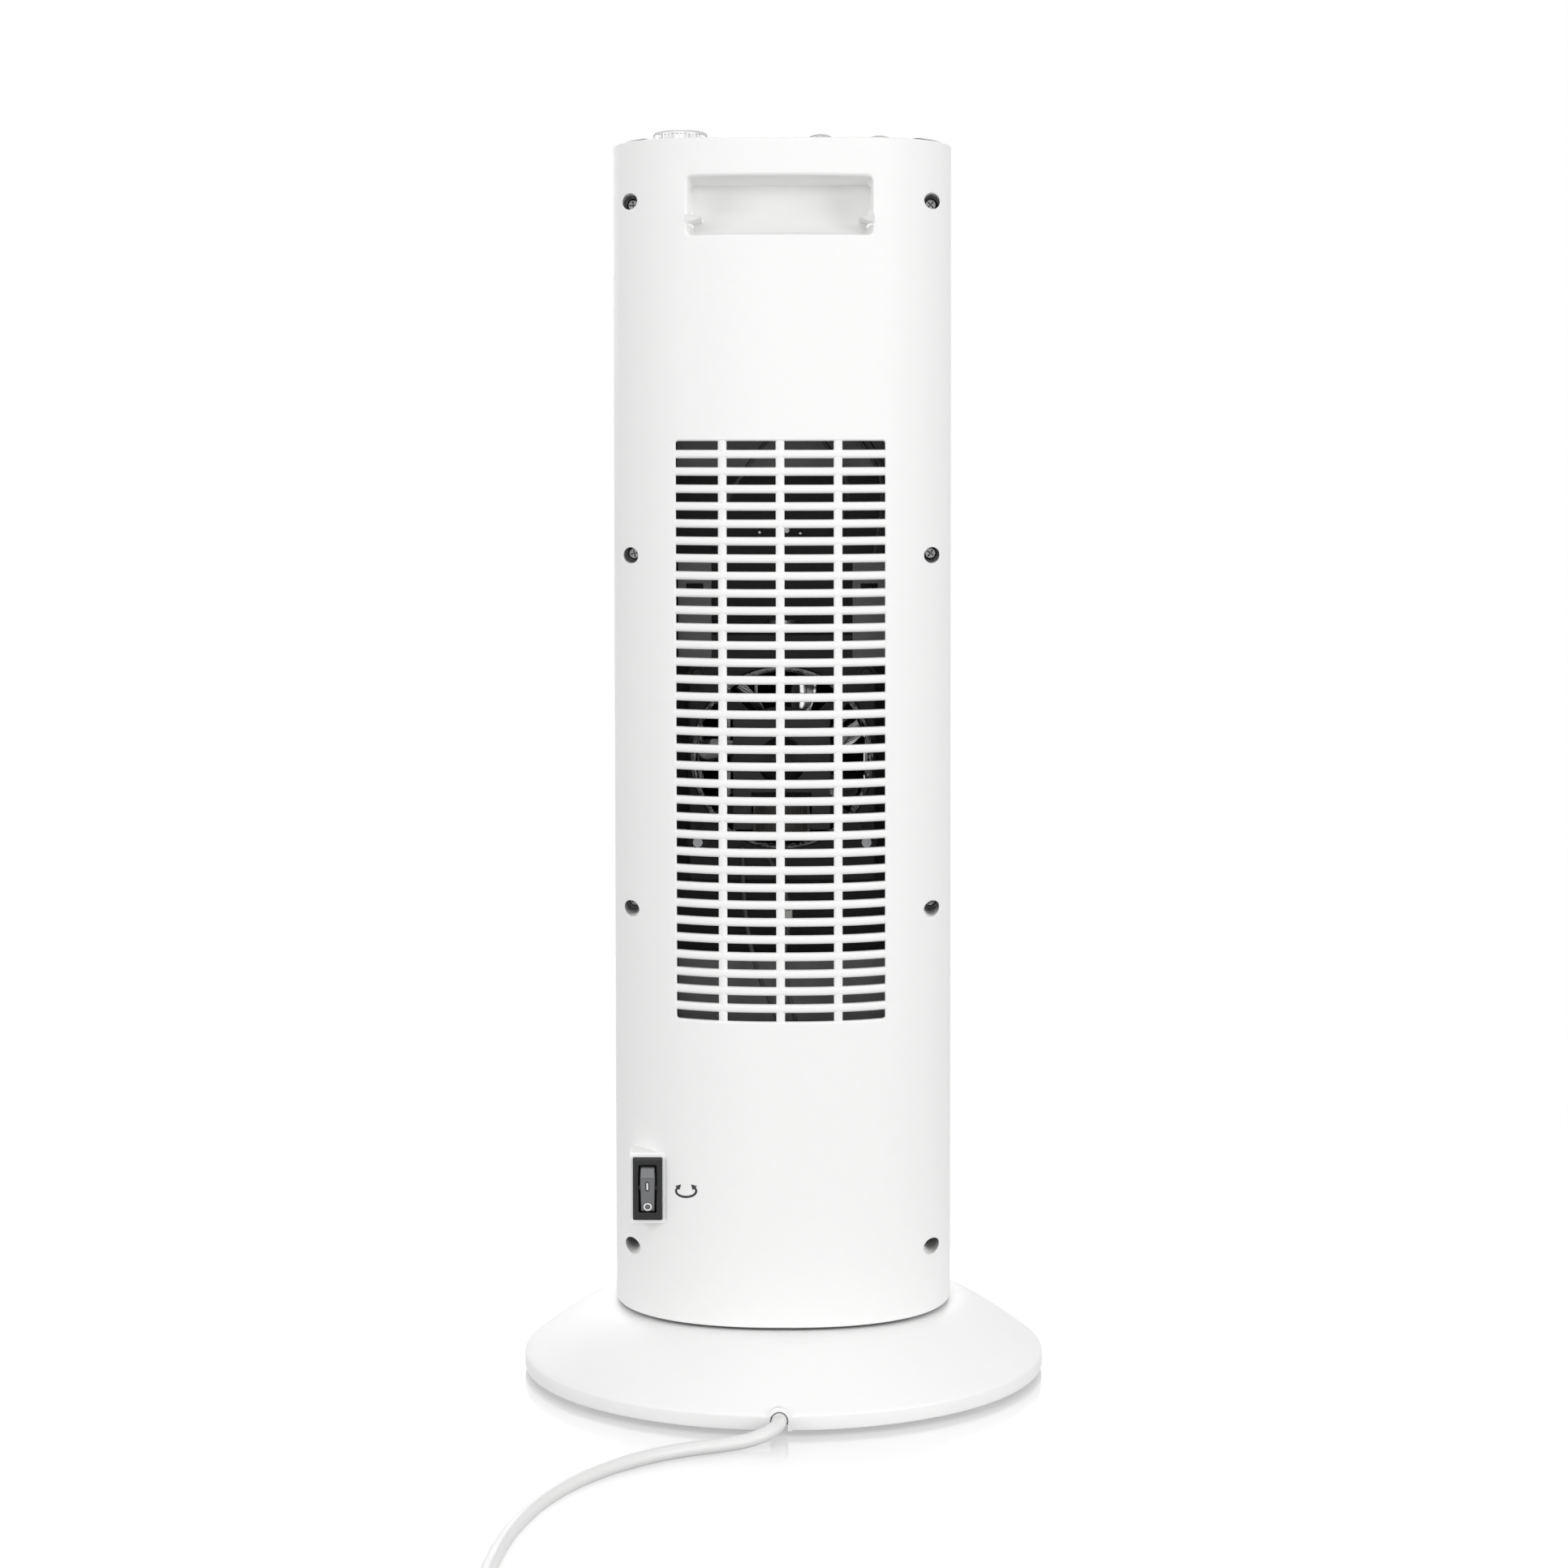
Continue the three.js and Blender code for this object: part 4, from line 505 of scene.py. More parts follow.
COIL_CENTRE = (CORD_ROUTE[-1][0] - COIL_OUTER, CORD_ROUTE[-1][1] + CLEARANCE + 2 * CORD_RADIUS)
COIL_STEPS = 40
TAIL_RUN = 48.0
TAIL_STEPS = 12
PLUG_RADIUS = 18.2
PIN_SPACING = 19.0


def coil_point(turns):
    """Centre of the coiled cord: it winds in on the floor and out again on the layer above."""
    past = turns - COIL_IN
    radius = COIL_INNER + COIL_PITCH * abs(past)
    climbed = part_way(-COIL_CLIMB / 2, COIL_CLIMB / 2, past)
    angle = TURN * turns
    x, y = COIL_CENTRE[0] + radius * math.cos(angle), COIL_CENTRE[1] + radius * math.sin(angle)
    return Vector((x, y, CORD_RADIUS + COIL_PITCH * climbed))


def cord_path():
    path = catmull(CORD_ROUTE, 6)
    total = COIL_IN + COIL_OUT
    steps = round(total * COIL_STEPS)
    path.extend(coil_point(total * i / steps) for i in range(steps + 1))
    last = path[-1]
    curved = TAIL_RUN - 2 * CORD_RADIUS
    for i in range(1, TAIL_STEPS + 1):
        share = i / TAIL_STEPS
        rise = (PLUG_RADIUS - last.z) * eased(share)
        path.append(Vector((last.x - curved * share, last.y, last.z + rise)))
    path.append(Vector((last.x - TAIL_RUN, last.y, PLUG_RADIUS)))
    for point in path:
        point.z = max(point.z, CORD_RADIUS + 0.02)
    return path


def make_relief():
    """Strain relief: a tapered sleeve with rings, held by a flange inside the base."""
    profile = [(0, RELIEF_INNER), (3.5, RELIEF_INNER)]
    rings = 5
    for i in range(rings):
        at = 124.0 + 9.6 * i / rings
        size = 3.85 - 0.3 * i / rings
        profile += [(size, at), (size, at + 1.1), (size - 0.35, at + 1.3), (size - 0.35, at + 1.7)]
    profile += [(3.55, RELIEF_TIP - 0.3), (3.45, RELIEF_TIP), (0, RELIEF_TIP)]
    sleeve = lathe(profile, 40, (0, 0, EXIT_HEIGHT), "Y")
    flange = box((-6.5, 118.7, 2.7), (6.5, 121.7, 12.8), 0.5)
    dress(fuse(sleeve, flange), "relief_sleeve", CORD, "base", ["cord_relief"])


def make_plug(tail):
    """A moulded plug with a ribbed neck, a waist for the fingers and two round pins."""
    x = tail.x - CLEARANCE
    body = [(0, 0), (4.4, 0), (4.8, 0.4)]
    ribs = 5
    for i in range(ribs):
        at = 1.4 + 2.7 * i
        size = 5.0 + 1.2 * i / ribs
        body += [(size, at), (size, at + 1.5), (size - 0.8, at + 1.8), (size - 0.8, at + 2.4)]
    body += [
        (6.5, 15.6), (9.4, 16.4), (10.7, 17.6), (11.0, 19.5), (10.8, 23.0), (11.0, 27.0), (12.4, 29.4),
        (15.4, 31.0), (17.4, 31.9), (18.2, 33.4), (18.2, 43.8), (17.9, 45.2), (16.9, 46.0), (16.0, 46.0),
        (15.7, 45.5), (0, 45.5),
    ]
    shape = lathe([(r, x - h) for r, h in body], 56, (0, tail.y, PLUG_RADIUS), "X")
    low, high = x - 38.0, x - 65.0
    pin = [(0, low), (2.4, low), (2.4, high + 1.4), (2.1, high + 0.5), (1.3, high), (0, high)]
    notches = []
    pins = []
    for side in (-1, 1):
        grip = (0, tail.y + side * 13.2, PLUG_RADIUS)
        seat = (0, tail.y + side * PIN_SPACING / 2, PLUG_RADIUS)
        notches.append(rod(3.0, x - 30, x - 17.5, grip, "X", 24))
        notches.append(rod(2.7, x - 46.5, x - 37.7, seat, "X", 24))
        pins.append(lathe(pin, 28, seat, "X"))
    plug = dress(cut(shape, *notches), "plug_moulding", CORD, "base", ["plug_body"])
    pins = dress(together(pins), "plug_pins", BRASS, "base", ["plug_pin_1", "plug_pin_2"])
    return plug, pins


def make_tie():
    """A flat strap round the coil's turns, on the side away from the base."""
    inner = COIL_INNER - CORD_RADIUS - 0.4
    outer = COIL_OUTER + CORD_RADIUS + 0.4
    top = CORD_RADIUS * 2 + COIL_PITCH + 0.4
    outside = rounded(inner - 0.7, outer + 0.7, 0.0, top + 0.7, 3.4, 6)
    inside = rounded(inner, outer, 0.5, top, 2.9, 6)
    turn = Matrix.Translation((*COIL_CENTRE, 0)) @ Matrix.Rotation(math.radians(35), 4, "Z")
    half = 4.5
    rings = [[turn @ Vector((u, shift, v)) for u, v in pairs]
             for pairs, shift in ((outside, -half), (outside, half), (inside, half), (inside, -half))]
    return dress(bevel(loft(rings, ends=False), 0.15), "coil_tie", DARK, "base")


def make_cords():
    path = cord_path()
    metres = [p * MM for p in path]
    data = bpy.data.curves.new("mains_lead", "CURVE")
    data.dimensions = "3D"
    data.bevel_depth = CORD_RADIUS * MM
    data.bevel_resolution = 7
    data.use_fill_caps = True
    line = data.splines.new("POLY")
    line.points.add(len(metres) - 1)
    for point, at in zip(line.points, metres):
        point.co = (*at, 1.0)
    data.materials.append(CORD)
    lead = linked("mains_lead", data)
    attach(lead, "base")
    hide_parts("mains_cord", "cord_coil")
    plug, pins = make_plug(path[-1])
    tie = make_tie()
    make_relief()


# Tower shell


def surface(x, side):
    """How far the tower's outer surface stands out at x."""
    share = min(1.0, abs(x) / HALF_WIDTH)
    return DEPTHS[side] * (1 - share**CURVE_POWER) ** (1 / CURVE_POWER)


def half_outline(inset, side):
    """Half of the shell's outline as [x, y] pairs, drawn in by an inset."""
    made = []
    for i in range(OUTLINE_STEPS + 1):
        angle = math.pi * i / OUTLINE_STEPS
        x = (HALF_WIDTH - inset) * math.copysign(abs(math.cos(angle)) ** (2 / CURVE_POWER), math.cos(angle))
        y = (DEPTHS[side] - inset) * max(math.sin(angle), 0.0) ** (2 / CURVE_POWER)
        made.append((x, side * max(y, PARTING if side == FRONT else 0.0)))
    return made


def whole_outline(inset):
    return half_outline(inset, REAR) + half_outline(inset, FRONT)[::-1]


def rim(x, y):
    """Height of the shell's top rim: level at the front and sides, a little dished at the rear."""
    return TOWER_TOP - RIM_DIP * max(0.0, 1 - (x / RIM_DIP_HALF) ** 2) * part_way(0.0, 74.0, y) ** 2


def half_body(side):
    """The outside of one half of the shell, with rounded rims at its top and bottom."""
    low = []
    high = []
    for fall, inset in quarter_round(3):
        outline = half_outline(RIM_ROUNDING * inset, side)
        low.append([(x, y, TOWER_LOW + RIM_ROUNDING * fall) for x, y in outline])
        high.append([(x, y, rim(x, y) - RIM_ROUNDING * fall) for x, y in outline])
    inner = [(x, y, rim(x, y)) for x, y in half_outline(WALL + 1.5, side)]
    return loft([*low, *high[::-1], inner])


def half_cavity(side):
    past = -side * OVERRUN
    width = HALF_WIDTH - WALL
    outline = [(width, past)] + half_outline(WALL, side) + [(-width, past)]
    return prism(outline, TOWER_LOW - OVERRUN, TOWER_TOP + OVERRUN)


def mouth(ring_at, side, depth, radius, steps=5):
    """A cutter whose mouth is rounded where it meets the curved surface."""
    levels = [(-OVERRUN, radius), (-0.01, radius)]
    levels += [(radius * fall, radius * grow) for fall, grow in quarter_round(steps)[1:]]
    levels.append((depth, 0.0))
    return loft([[(x, side * (surface(x, side) - t), z) for x, z in ring_at(grow)] for t, grow in levels])


def bar(reach, z, half, side, behind=0.1, radius=1.5, depth=3.0):
    """A horizontal grille bar that follows the curved surface, with a rounded front."""
    front = [(behind + radius * fall, half - radius * inset) for fall, inset in quarter_round(4)]
    front.append((depth, half))
    profile = front + [(t, -dz) for t, dz in front[::-1]]
    count = round(2 * reach / BAR_STEP)
    rings = []
    for i in range(count + 1):
        x = reach * (2 * i / count - 1)
        rings.append([(x, side * (surface(x, side) - t), z + dz) for t, dz in profile])
    return loft(rings)


def rib(x, low, high, half, side, behind=0.28, bulge=1.3, depth=2.9):
    """A vertical grille rib with a rounded front, set a little behind the bars."""
    pairs = []
    for i in range(-5, 6):
        angle = QUARTER * i / 5
        pairs.append((half * math.sin(angle), behind + bulge * (1 - math.cos(angle))))
    pairs += [(half, depth), (-half, depth)]
    outline = [(x + dx, side * (surface(x + dx, side) - t)) for dx, t in pairs]
    return prism(outline, low, high)


def window(half, low, high, side, corner=1.2, radius=1.2):
    """A rounded cutter for a grille's window, with points along the curved surface."""

    def ring_at(grow):
        return rounded(-half - grow, half + grow, low - grow, high + grow, corner + grow, 4, round(half))

    return mouth(ring_at, side, 9.0, radius)


HANDLE_HALF = 45.2
HANDLE_TOP = 600.0
HANDLE_LOW = 571.5
HANDLE_BACK = 48.0
HANDLE_LIP_Y = 68.0
HANDLE_LIP_Z = 596.6


def handle_ring(y, grow, spread):
    """One section of the handle recess across Y, as points that follow the curved surface."""
    front = DEPTHS[REAR]
    fall = (HANDLE_LIP_Z - HANDLE_LOW) * math.sqrt(1 - (1 - part_way(HANDLE_BACK, front, y)) ** 2)
    low = HANDLE_LIP_Z - max(fall, 1.2) - grow - spread
    lip = part_way(HANDLE_LIP_Y, front, y)
    high = HANDLE_LIP_Z + (HANDLE_TOP - HANDLE_LIP_Z) * lip + grow + spread
    half = HANDLE_HALF - 1.0 + lip + grow + spread
    corner = min(2.4 + grow, (high - low) / 2 - 0.05)
    follow = part_way(HANDLE_BACK, HANDLE_BACK + 14, y)
    outline = rounded(-half, half, low, high, corner, 5, 24)
    return [(x, y - (front - surface(x, REAR)) * follow, z) for x, z in outline]


def handle_solid(grow):
    """The recess itself, or with a wall's growth the cup that lines it."""
    front = DEPTHS[REAR]
    radius = 0.0 if grow else 1.3
    levels = [(HANDLE_BACK - grow + dy, 0.0) for dy in (0.0, 0.4, 1.2, 2.4, 4.2, 7.0, 10.5, 14.5)]
    levels += [(HANDLE_LIP_Y + dy, 0.0) for dy in (-0.8, 0.4, 4.0)]
    if radius:
        levels += [(front - radius * inset, radius * fall) for fall, inset in quarter_round(5)]
    levels += [(front + 0.01, radius), (front + OVERRUN, radius)]
    return loft([handle_ring(y, grow, spread) for y, spread in levels])


def handle_catches():
    """The two small moulded ledges and hooks in the lower corners of the recess."""
    made = []
    for side in (-1, 1):
        outer, inner = side * 45.8, side * 38.2
        made.append(block([
            (outer, 47.0, 581.6), (outer, 74.0, 581.4), (inner, 66.0, 580.4), (inner, 47.0, 580.6),
            (outer, 47.0, 576.0), (outer, 71.0, 577.4), (inner, 62.0, 579.9), (inner, 47.0, 577.0),
        ], 0.4))
        hook = [(45.8, 67.5, 576.5), (44.0, 68.4, 576.7), (42.8, 68.8, 576.1), (42.2, 68.8, 575.0)]
        made.append(sweep([(side * x, y, z) for x, y, z in hook], 0.6, 12))
    return together(made)


def make_rear_shell():
    """The rear half with its wells, the handle recess, the switch's pad and the intake grille."""
    outside = half_body(REAR)
    shell = cut(half_body(REAR), half_cavity(REAR))
    wells = fuse(together(at_screws(5.7, 7.0, DEPTHS[REAR], 32)), handle_solid(2.0))
    wells = common(wells, outside)
    pad = []
    for depth, inset in ((PAD_DEPTH, 0.0), (0.9, 0.0), (0.4, 0.1), (0.1, 0.4), (0.0, 0.8)):
        rise = 0.8 * depth / PAD_DEPTH
        outline = rounded(56.8 + inset, 75.0 - inset, 86.0 + inset, 121.2 - inset, 1.0)
        pad.append([(x, PAD_FACE - depth, z + (rise if z > ROCKER_Z else 0.0)) for x, z in outline])
    shell = fuse(shell, wells, loft(pad))
    holes = at_screws(4.0, SCREW_SEAT, DEPTHS[REAR] + OVERRUN, 40) + at_screws(1.9, 0.0, SCREW_SEAT + 1, 20)
    mouths = []
    for x, z in SCREW_PLACES:
        mouths.append(mouth(
            lambda grow, x=x, z=z: [(x + a, z + b) for a, b in circle(4.0 + grow, 40)], REAR, 2.0, 0.5, 4
        ))
    low = SLOT_LOWEST - SLOT_HEIGHT / 2
    high = low + (SLOT_ROWS - 1) * SLOT_PITCH + SLOT_HEIGHT
    grille = window(GRILLE_HALF, low, high, REAR)
    switch_hole = box((59.6, 30.0, 89.1), (72.2, 70.0, 118.1))
    shell = cut(shell, together(holes), together(mouths), grille, switch_hole, handle_solid(0.0))
    bar_half = (SLOT_PITCH - SLOT_HEIGHT) / 2
    bars = [bar(GRILLE_HALF + 1.3, SLOT_LOWEST + (row + 0.5) * SLOT_PITCH, bar_half, REAR)
            for row in range(SLOT_ROWS - 1)]
    ribs = [rib(x, low - 1.4, high + 1.4, RIB_WIDTH / 2, REAR) for x in RIB_XS]
    shell = fuse(shell, together(bars), together(ribs), handle_catches())
    dress(shell, "rear_moulding", SHELL, "tower", ["rear_shell"])


OUTLET_HALF = 48.0
OUTLET_LOW = 190.0
OUTLET_HIGH = 438.0
LOUVRE_PITCH = 15.4
LOUVRE_GAP = 10.6


def make_front_shell():
    shell = cut(half_body(FRONT), half_cavity(FRONT))
    front = -DEPTHS[FRONT]
    posts = [rod(4.0, front, -12.0, (x, 0, FAN_Z + z), "Y", 28) for x in (-58, 58) for z in (-40, 40)]
    inside = fuse(half_body(FRONT), box((-85, -0.4, TOWER_LOW + 2), (85, 12, TOWER_TOP - 2)))
    shell = fuse(shell, common(together(at_screws(4.4, front, 6.7, 32) + posts), inside))
    outlet = window(OUTLET_HALF, OUTLET_LOW, OUTLET_HIGH, FRONT, 3.0, 1.6)
    shell = cut(shell, together(at_screws(1.9, -8.6, 12.0, 20)), outlet)
    dress(shell, "front_moulding", SHELL, "tower", ["front_shell"])


def make_outlet_grille():
    """The louvred grille in the outlet: a curved frame, three ribs and slats with rounded fronts."""
    half = OUTLET_HALF + 3.0
    low, high = OUTLET_LOW - 3.0, OUTLET_HIGH + 3.0
    steps = 56
    curve = [(x, FITTED - surface(x, FRONT)) for x in (half * (2 * i / steps - 1) for i in range(steps + 1))]
    frame_body = cut(
        prism(curve + [(x, y + 2.5) for x, y in curve[::-1]], low, high),
        box((4.2 - OUTLET_HALF, -90, OUTLET_LOW + 2.2), (OUTLET_HALF - 4.2, 0, OUTLET_HIGH - 2.2)),
    )
    slat_half = (LOUVRE_PITCH - LOUVRE_GAP) / 2
    rows = int((OUTLET_HIGH - OUTLET_LOW) / LOUVRE_PITCH)
    first = (OUTLET_LOW + OUTLET_HIGH - rows * LOUVRE_PITCH) / 2
    slats = [bar(half - 5, first + row * LOUVRE_PITCH, slat_half, FRONT, FITTED + 0.1, 1.6, FITTED + 6.0)
             for row in range(rows + 1)]
    ribs = [rib(x, low + 1, high - 1, 2.1, FRONT, FITTED + 0.4, 1.4, FITTED + 4.5) for x in RIB_XS]
    grille = fuse(frame_body, together(slats), together(ribs))
    dress(grille, "outlet_louvres", PANEL, "tower", ["outlet_grille"])


# Controls on the top

CONTROL_Y = -8.0
KNOB_X = 51.75
KNOB_LOW = 621.62
BUTTON_XS = (-19.1, -49.0)
BUTTON_TOPS = (626.95, 626.15)
PANEL_LOW = 614.7
PANEL_EDGE = 0.35
PANEL_CROWN = 2.4
PANEL_LIP = 0.85
PANEL_ROUNDING = 0.8


def crown(x, y):
    """Height of the panel: a low dome with raised ends, kept just under the dished rim at the rear."""
    across, along = x / (HALF_WIDTH - FITTED), y / (DEPTHS[REAR] - FITTED)
    edge = TOWER_TOP + PANEL_EDGE + PANEL_CROWN * (1 - across**2 - along**2)
    hidden = part_way(68.0, 60.0, abs(x)) * part_way(30.0, 60.0, y)
    outward = (abs(across) ** CURVE_POWER + abs(along) ** CURVE_POWER) ** (1 / CURVE_POWER)
    lip = part_way(0.84, 0.96, outward) * part_way(60.0, 68.0, abs(x))
    return edge - hidden * (TOWER_TOP - rim(x, max(y, 60.0)) + 0.5) + PANEL_LIP * eased(lip)


def make_top_panel():
    """A black crowned panel with a rounded edge, finger wells round the buttons and a dial's marks."""
    rings = [[(x, y, PANEL_LOW) for x, y in whole_outline(FITTED)]]
    for inset, fall in quarter_round(3):
        outline = whole_outline(FITTED + PANEL_ROUNDING * inset)
        rings.append([(x, y, crown(x, y) - PANEL_ROUNDING * fall) for x, y in outline])
    steps = 14
    for i in range(1, steps):
        inner = [(x * (1 - i / steps), y * (1 - i / steps)) for x, y in outline]
        rings.append([(x, y, crown(x, y)) for x, y in inner])
    rings.append([(0.0, 0.0, crown(0.0, 0.0))])
    holes = [rod(3.3, PANEL_LOW - 5, 640.0, (KNOB_X, CONTROL_Y, 0), "Z", 32)]
    wells = []
    for x in BUTTON_XS:
        place = (x, CONTROL_Y, crown(x, CONTROL_Y))
        holes.append(rod(6.3, PANEL_LOW - 5, 640.0, (x, CONTROL_Y, 0), "Z", 48))
        well = [(6.2, 3), (9.4, 3), (9.4, 0.05), (8.9, -0.25), (7.6, -0.55), (6.2, -0.6)]
        wells.append(lathe(well, 48, place))
    panel = cut(loft(rings), together(holes), together(wells))
    dress(panel, "control_panel", PANEL, "tower", ["top_panel"])
    marks = []
    for i in range(11):
        long, thick = (2.6, 0.5) if i % 5 == 0 else (1.6, 0.35)
        turn = Matrix.Rotation(math.radians(225 + 27 * i), 4, "Z")
        corners = ((0, -thick / 2), (long, -thick / 2), (long, thick / 2), (0, thick / 2))
        corners = [Vector((KNOB_X, CONTROL_Y, 0)) + turn @ Vector((15.6 + u, v, 0)) for u, v in corners]
        marks.append(loft([[(p.x, p.y, crown(p.x, p.y) + lift) for p in corners] for lift in (-0.1, 0.06)]))
    dress(together(marks), "dial_ticks", WHITE_INK, "tower")


def make_knob():
    """The thermostat's knob: a fluted skirt, a smooth round shoulder and a dished face with a pointer."""
    flutes, per_flute = 40, 6
    sides = flutes * per_flute
    profile = [
        (13.2, 0, 0), (13.9, 0.15, 0), (14.0, 0.4, 0), (14.0, 1.1, 0), (13.85, 1.35, 0.1), (13.75, 1.6, 0.55),
        (13.75, 4.1, 0.55), (13.75, 4.4, 0.05), (13.7, 4.8, 0), (13.5, 5.4, 0), (13.1, 5.85, 0),
        (12.5, 6.25, 0), (11.6, 6.55, 0), (10.8, 6.68, 0), (10.5, 6.6, 0), (10.2, 6.45, 0),
    ]
    profile += [(max(10.0 * i / 6, 0.05), 6.45, 0) for i in range(6, -1, -1)]
    rings = []
    for radius, height, fluting in profile:
        ring = []
        for i in range(sides):
            angle = TURN * i / sides
            size = radius - fluting * (0.5 - 0.5 * math.cos(TURN * i / per_flute)) ** 1.5
            ring.append((size * math.cos(angle), size * math.sin(angle), height))
        rings.append(ring)
    parts = {
        "knob": loft(rings),
        "socket": rod(3.3, -1, 4.05, (0, 0, 0), "Z", 32),
        "groove": box((-0.45, 4.6, 6.15), (0.45, 10.0, 7.2)),
        "pointer": box((-0.4, 4.65, 6.1), (0.4, 9.95, 6.35), 0.05),
    }
    for part in parts.values():
        part.data.transform(Matrix.Translation((KNOB_X, CONTROL_Y, KNOB_LOW)))
    body = cut(parts["knob"], parts["socket"], parts["groove"])
    dress(body, "dial_knob", SATIN, "knob", ["thermostat_knob"])
    dress(parts["pointer"], "dial_pointer", BLACK_INK, "knob")
    shaft = rod(3.0, 603.4, 625.35, (KNOB_X, CONTROL_Y, 0), "Z", 32, 0.3)
    dress(shaft, "dial_shaft", STEEL, "knob", ["thermostat_shaft"])


def make_buttons():
    """Two push buttons, each with a full round crown, in a thin ring that lies in the panel's well."""
    low = PANEL_LOW - CLEARANCE - 1.5
    radius, dome, steps = 5.95, 2.5, 16
    for i, (x, top) in enumerate(zip(BUTTON_XS, BUTTON_TOPS), 1):
        profile = [(0, low), (7.4, low), (7.4, low + 1.5), (radius, low + 1.5), (radius, top - dome)]
        for k in range(1, steps):
            angle = QUARTER * k / steps
            profile.append((radius * math.cos(angle), top - dome + dome * math.sin(angle) ** 0.9))
        body = lathe(profile + [(0, top)], 56, (x, CONTROL_Y, 0))
        dress(body, f"push_button_{i}", CHROME, f"button_{i}", [f"button_cap_{i}"])
        ring = [(6.4, -0.7), (8.3, -0.7), (8.2, 0.1), (7.8, 0.35), (6.9, 0.35), (6.4, 0.1)]
        collar = lathe(ring, 56, (x, CONTROL_Y, crown(x, CONTROL_Y)))
        dress(collar, f"button_collar_{i}", CHROME, "tower")


# Rocker switch

ROCKER_X = 65.9
ROCKER_Z = 103.6
PAD_FACE = 62.5
PAD_DEPTH = 26.5
PIVOT_Y = 60.6
TILT = math.radians(12)
LINE_Z = 2.7
RING_Z = -8.3
SIGHT_FALL = 0.2165


def switch_ring(out, half_x, half_z, corner):
    """A round-cornered section of the switch's frame, standing out from its pad."""
    outline = rounded(ROCKER_X - half_x, ROCKER_X + half_x, ROCKER_Z - half_z, ROCKER_Z + half_z, corner)
    return [(x, PAD_FACE + out, z) for x, z in outline]


def make_switch():
    """The switch's frame with its bevelled rim and window, and the box behind the wall."""
    levels = ((0.0, 0.0, 0.7), (1.1, 0.0, 0.7), (1.5, 0.14, 0.65), (1.85, 0.5, 0.5), (2.0, 1.0, 0.4))
    body = loft([switch_ring(out, 7.3 - inset, 15.55 - inset, corner) for out, inset, corner in levels])
    back = box((ROCKER_X - 6, 43.5, ROCKER_Z - 14.2), (ROCKER_X + 6, PAD_FACE + 0.3, ROCKER_Z + 14.2), 0.4)
    levels = ((-11.0, 0.0), (1.5, 0.0), (1.75, 0.12), (1.95, 0.4), (3.0, 0.4))
    hole = loft([switch_ring(out, 4.35 + grow, 11.75 + grow, 0.35 + grow) for out, grow in levels])
    dress(cut(fuse(body, back), hole), "switch_frame", BEZEL, "tower", ["rocker_housing"])


def on_rocker(obj):
    return turned_about(obj, -TILT, "X", Vector((ROCKER_X, PIVOT_Y, ROCKER_Z)))


def rocker_section(x, pairs):
    """Pairs [y, z] about the rocker's pivot as points at x."""
    return [(ROCKER_X + x, PIVOT_Y + y, ROCKER_Z + z) for y, z in pairs]


def rocker_mark(outline, lift):
    """A flat mark on the rocker's long facet, from [x, z] pairs about its middle."""
    facet = [(ROCKER_X + u, PIVOT_Y + 4.5 + 0.5 * (v + 10.6) / 17.3, ROCKER_Z + v) for u, v in outline]
    return loft([[(x, y + out, z) for x, y, z in facet] for out in (-0.3, lift)])


def rocker_disc(radius, lift, sides=40):
    return rocker_mark([(a, b + RING_Z) for a, b in circle(radius, sides)], lift)


def rocker_line(half_x, half_z, corner, steps, lift):
    return rocker_mark(rounded(-half_x, half_x, LINE_Z - half_z, LINE_Z + half_z, corner, steps), lift)


def make_rocker():
    """The rocker: a long facet, a short steep one with a seam, chamfered sides and a keel with its pin."""
    front = [(4.3, -10.6), (4.5, -10.3), (4.95, 6.3), (4.9, 6.8), (4.6, 7.2), (1.3, 10.7), (0.6, 10.9)]
    back = [(-2.0, 10.6), (-6.0, 2.5), (-6.0, -2.5), (-2.0, -10.6)]
    chamfer = [(3.9, 4.2), (3.45, 0.9), (3.3, 0.25), (3.1, 0.0)]
    rings = []
    for x, inset in [(-x, inset) for x, inset in chamfer] + chamfer[::-1]:
        drawn_in = [(max(y - inset, -1.5), z * (1 - 0.02 * inset)) for y, z in front]
        rings.append(rocker_section(x, drawn_in + back))
    seam = [(4.45, 7.2), (6, 7.2), (6, 12), (0, 12), (0.5, 10.95), (1.15, 10.7)]
    seam = loft([rocker_section(x, seam) for x in (-0.14, 0.14)])
    fold = [(4.55, 6.75), (6, 6.75), (6, 7.05), (4.55, 7.05)]
    fold = loft([rocker_section(x, fold) for x in (-3.4, 3.4)])
    pin = rod(1.2, ROCKER_X - 5.2, ROCKER_X + 5.2, (0, PIVOT_Y, ROCKER_Z), "X", 20)
    body = on_rocker(fuse(cut(loft(rings), seam, fold), pin))
    dress(body, "rocker_key", ROCKER, "rocker", ["rocker"], 0.3)
    dark = together([rocker_line(0.95, 2.6, 0.9, 4, 0.03), rocker_disc(2.5, 0.03)])
    dress(on_rocker(dark), "rocker_marks_dark", BLACK_INK, "rocker")
    ring = cut(rocker_disc(2.16, 0.07), rocker_disc(1.3, 0.5))
    light = together([rocker_line(0.42, 1.85, 0.1, 2, 0.07), ring])
    dress(on_rocker(light), "rocker_marks_light", WHITE_INK, "rocker")
    dress(on_rocker(rocker_disc(0.85, 0.05, 32)), "rocker_ring_middle", ROCKER, "rocker")


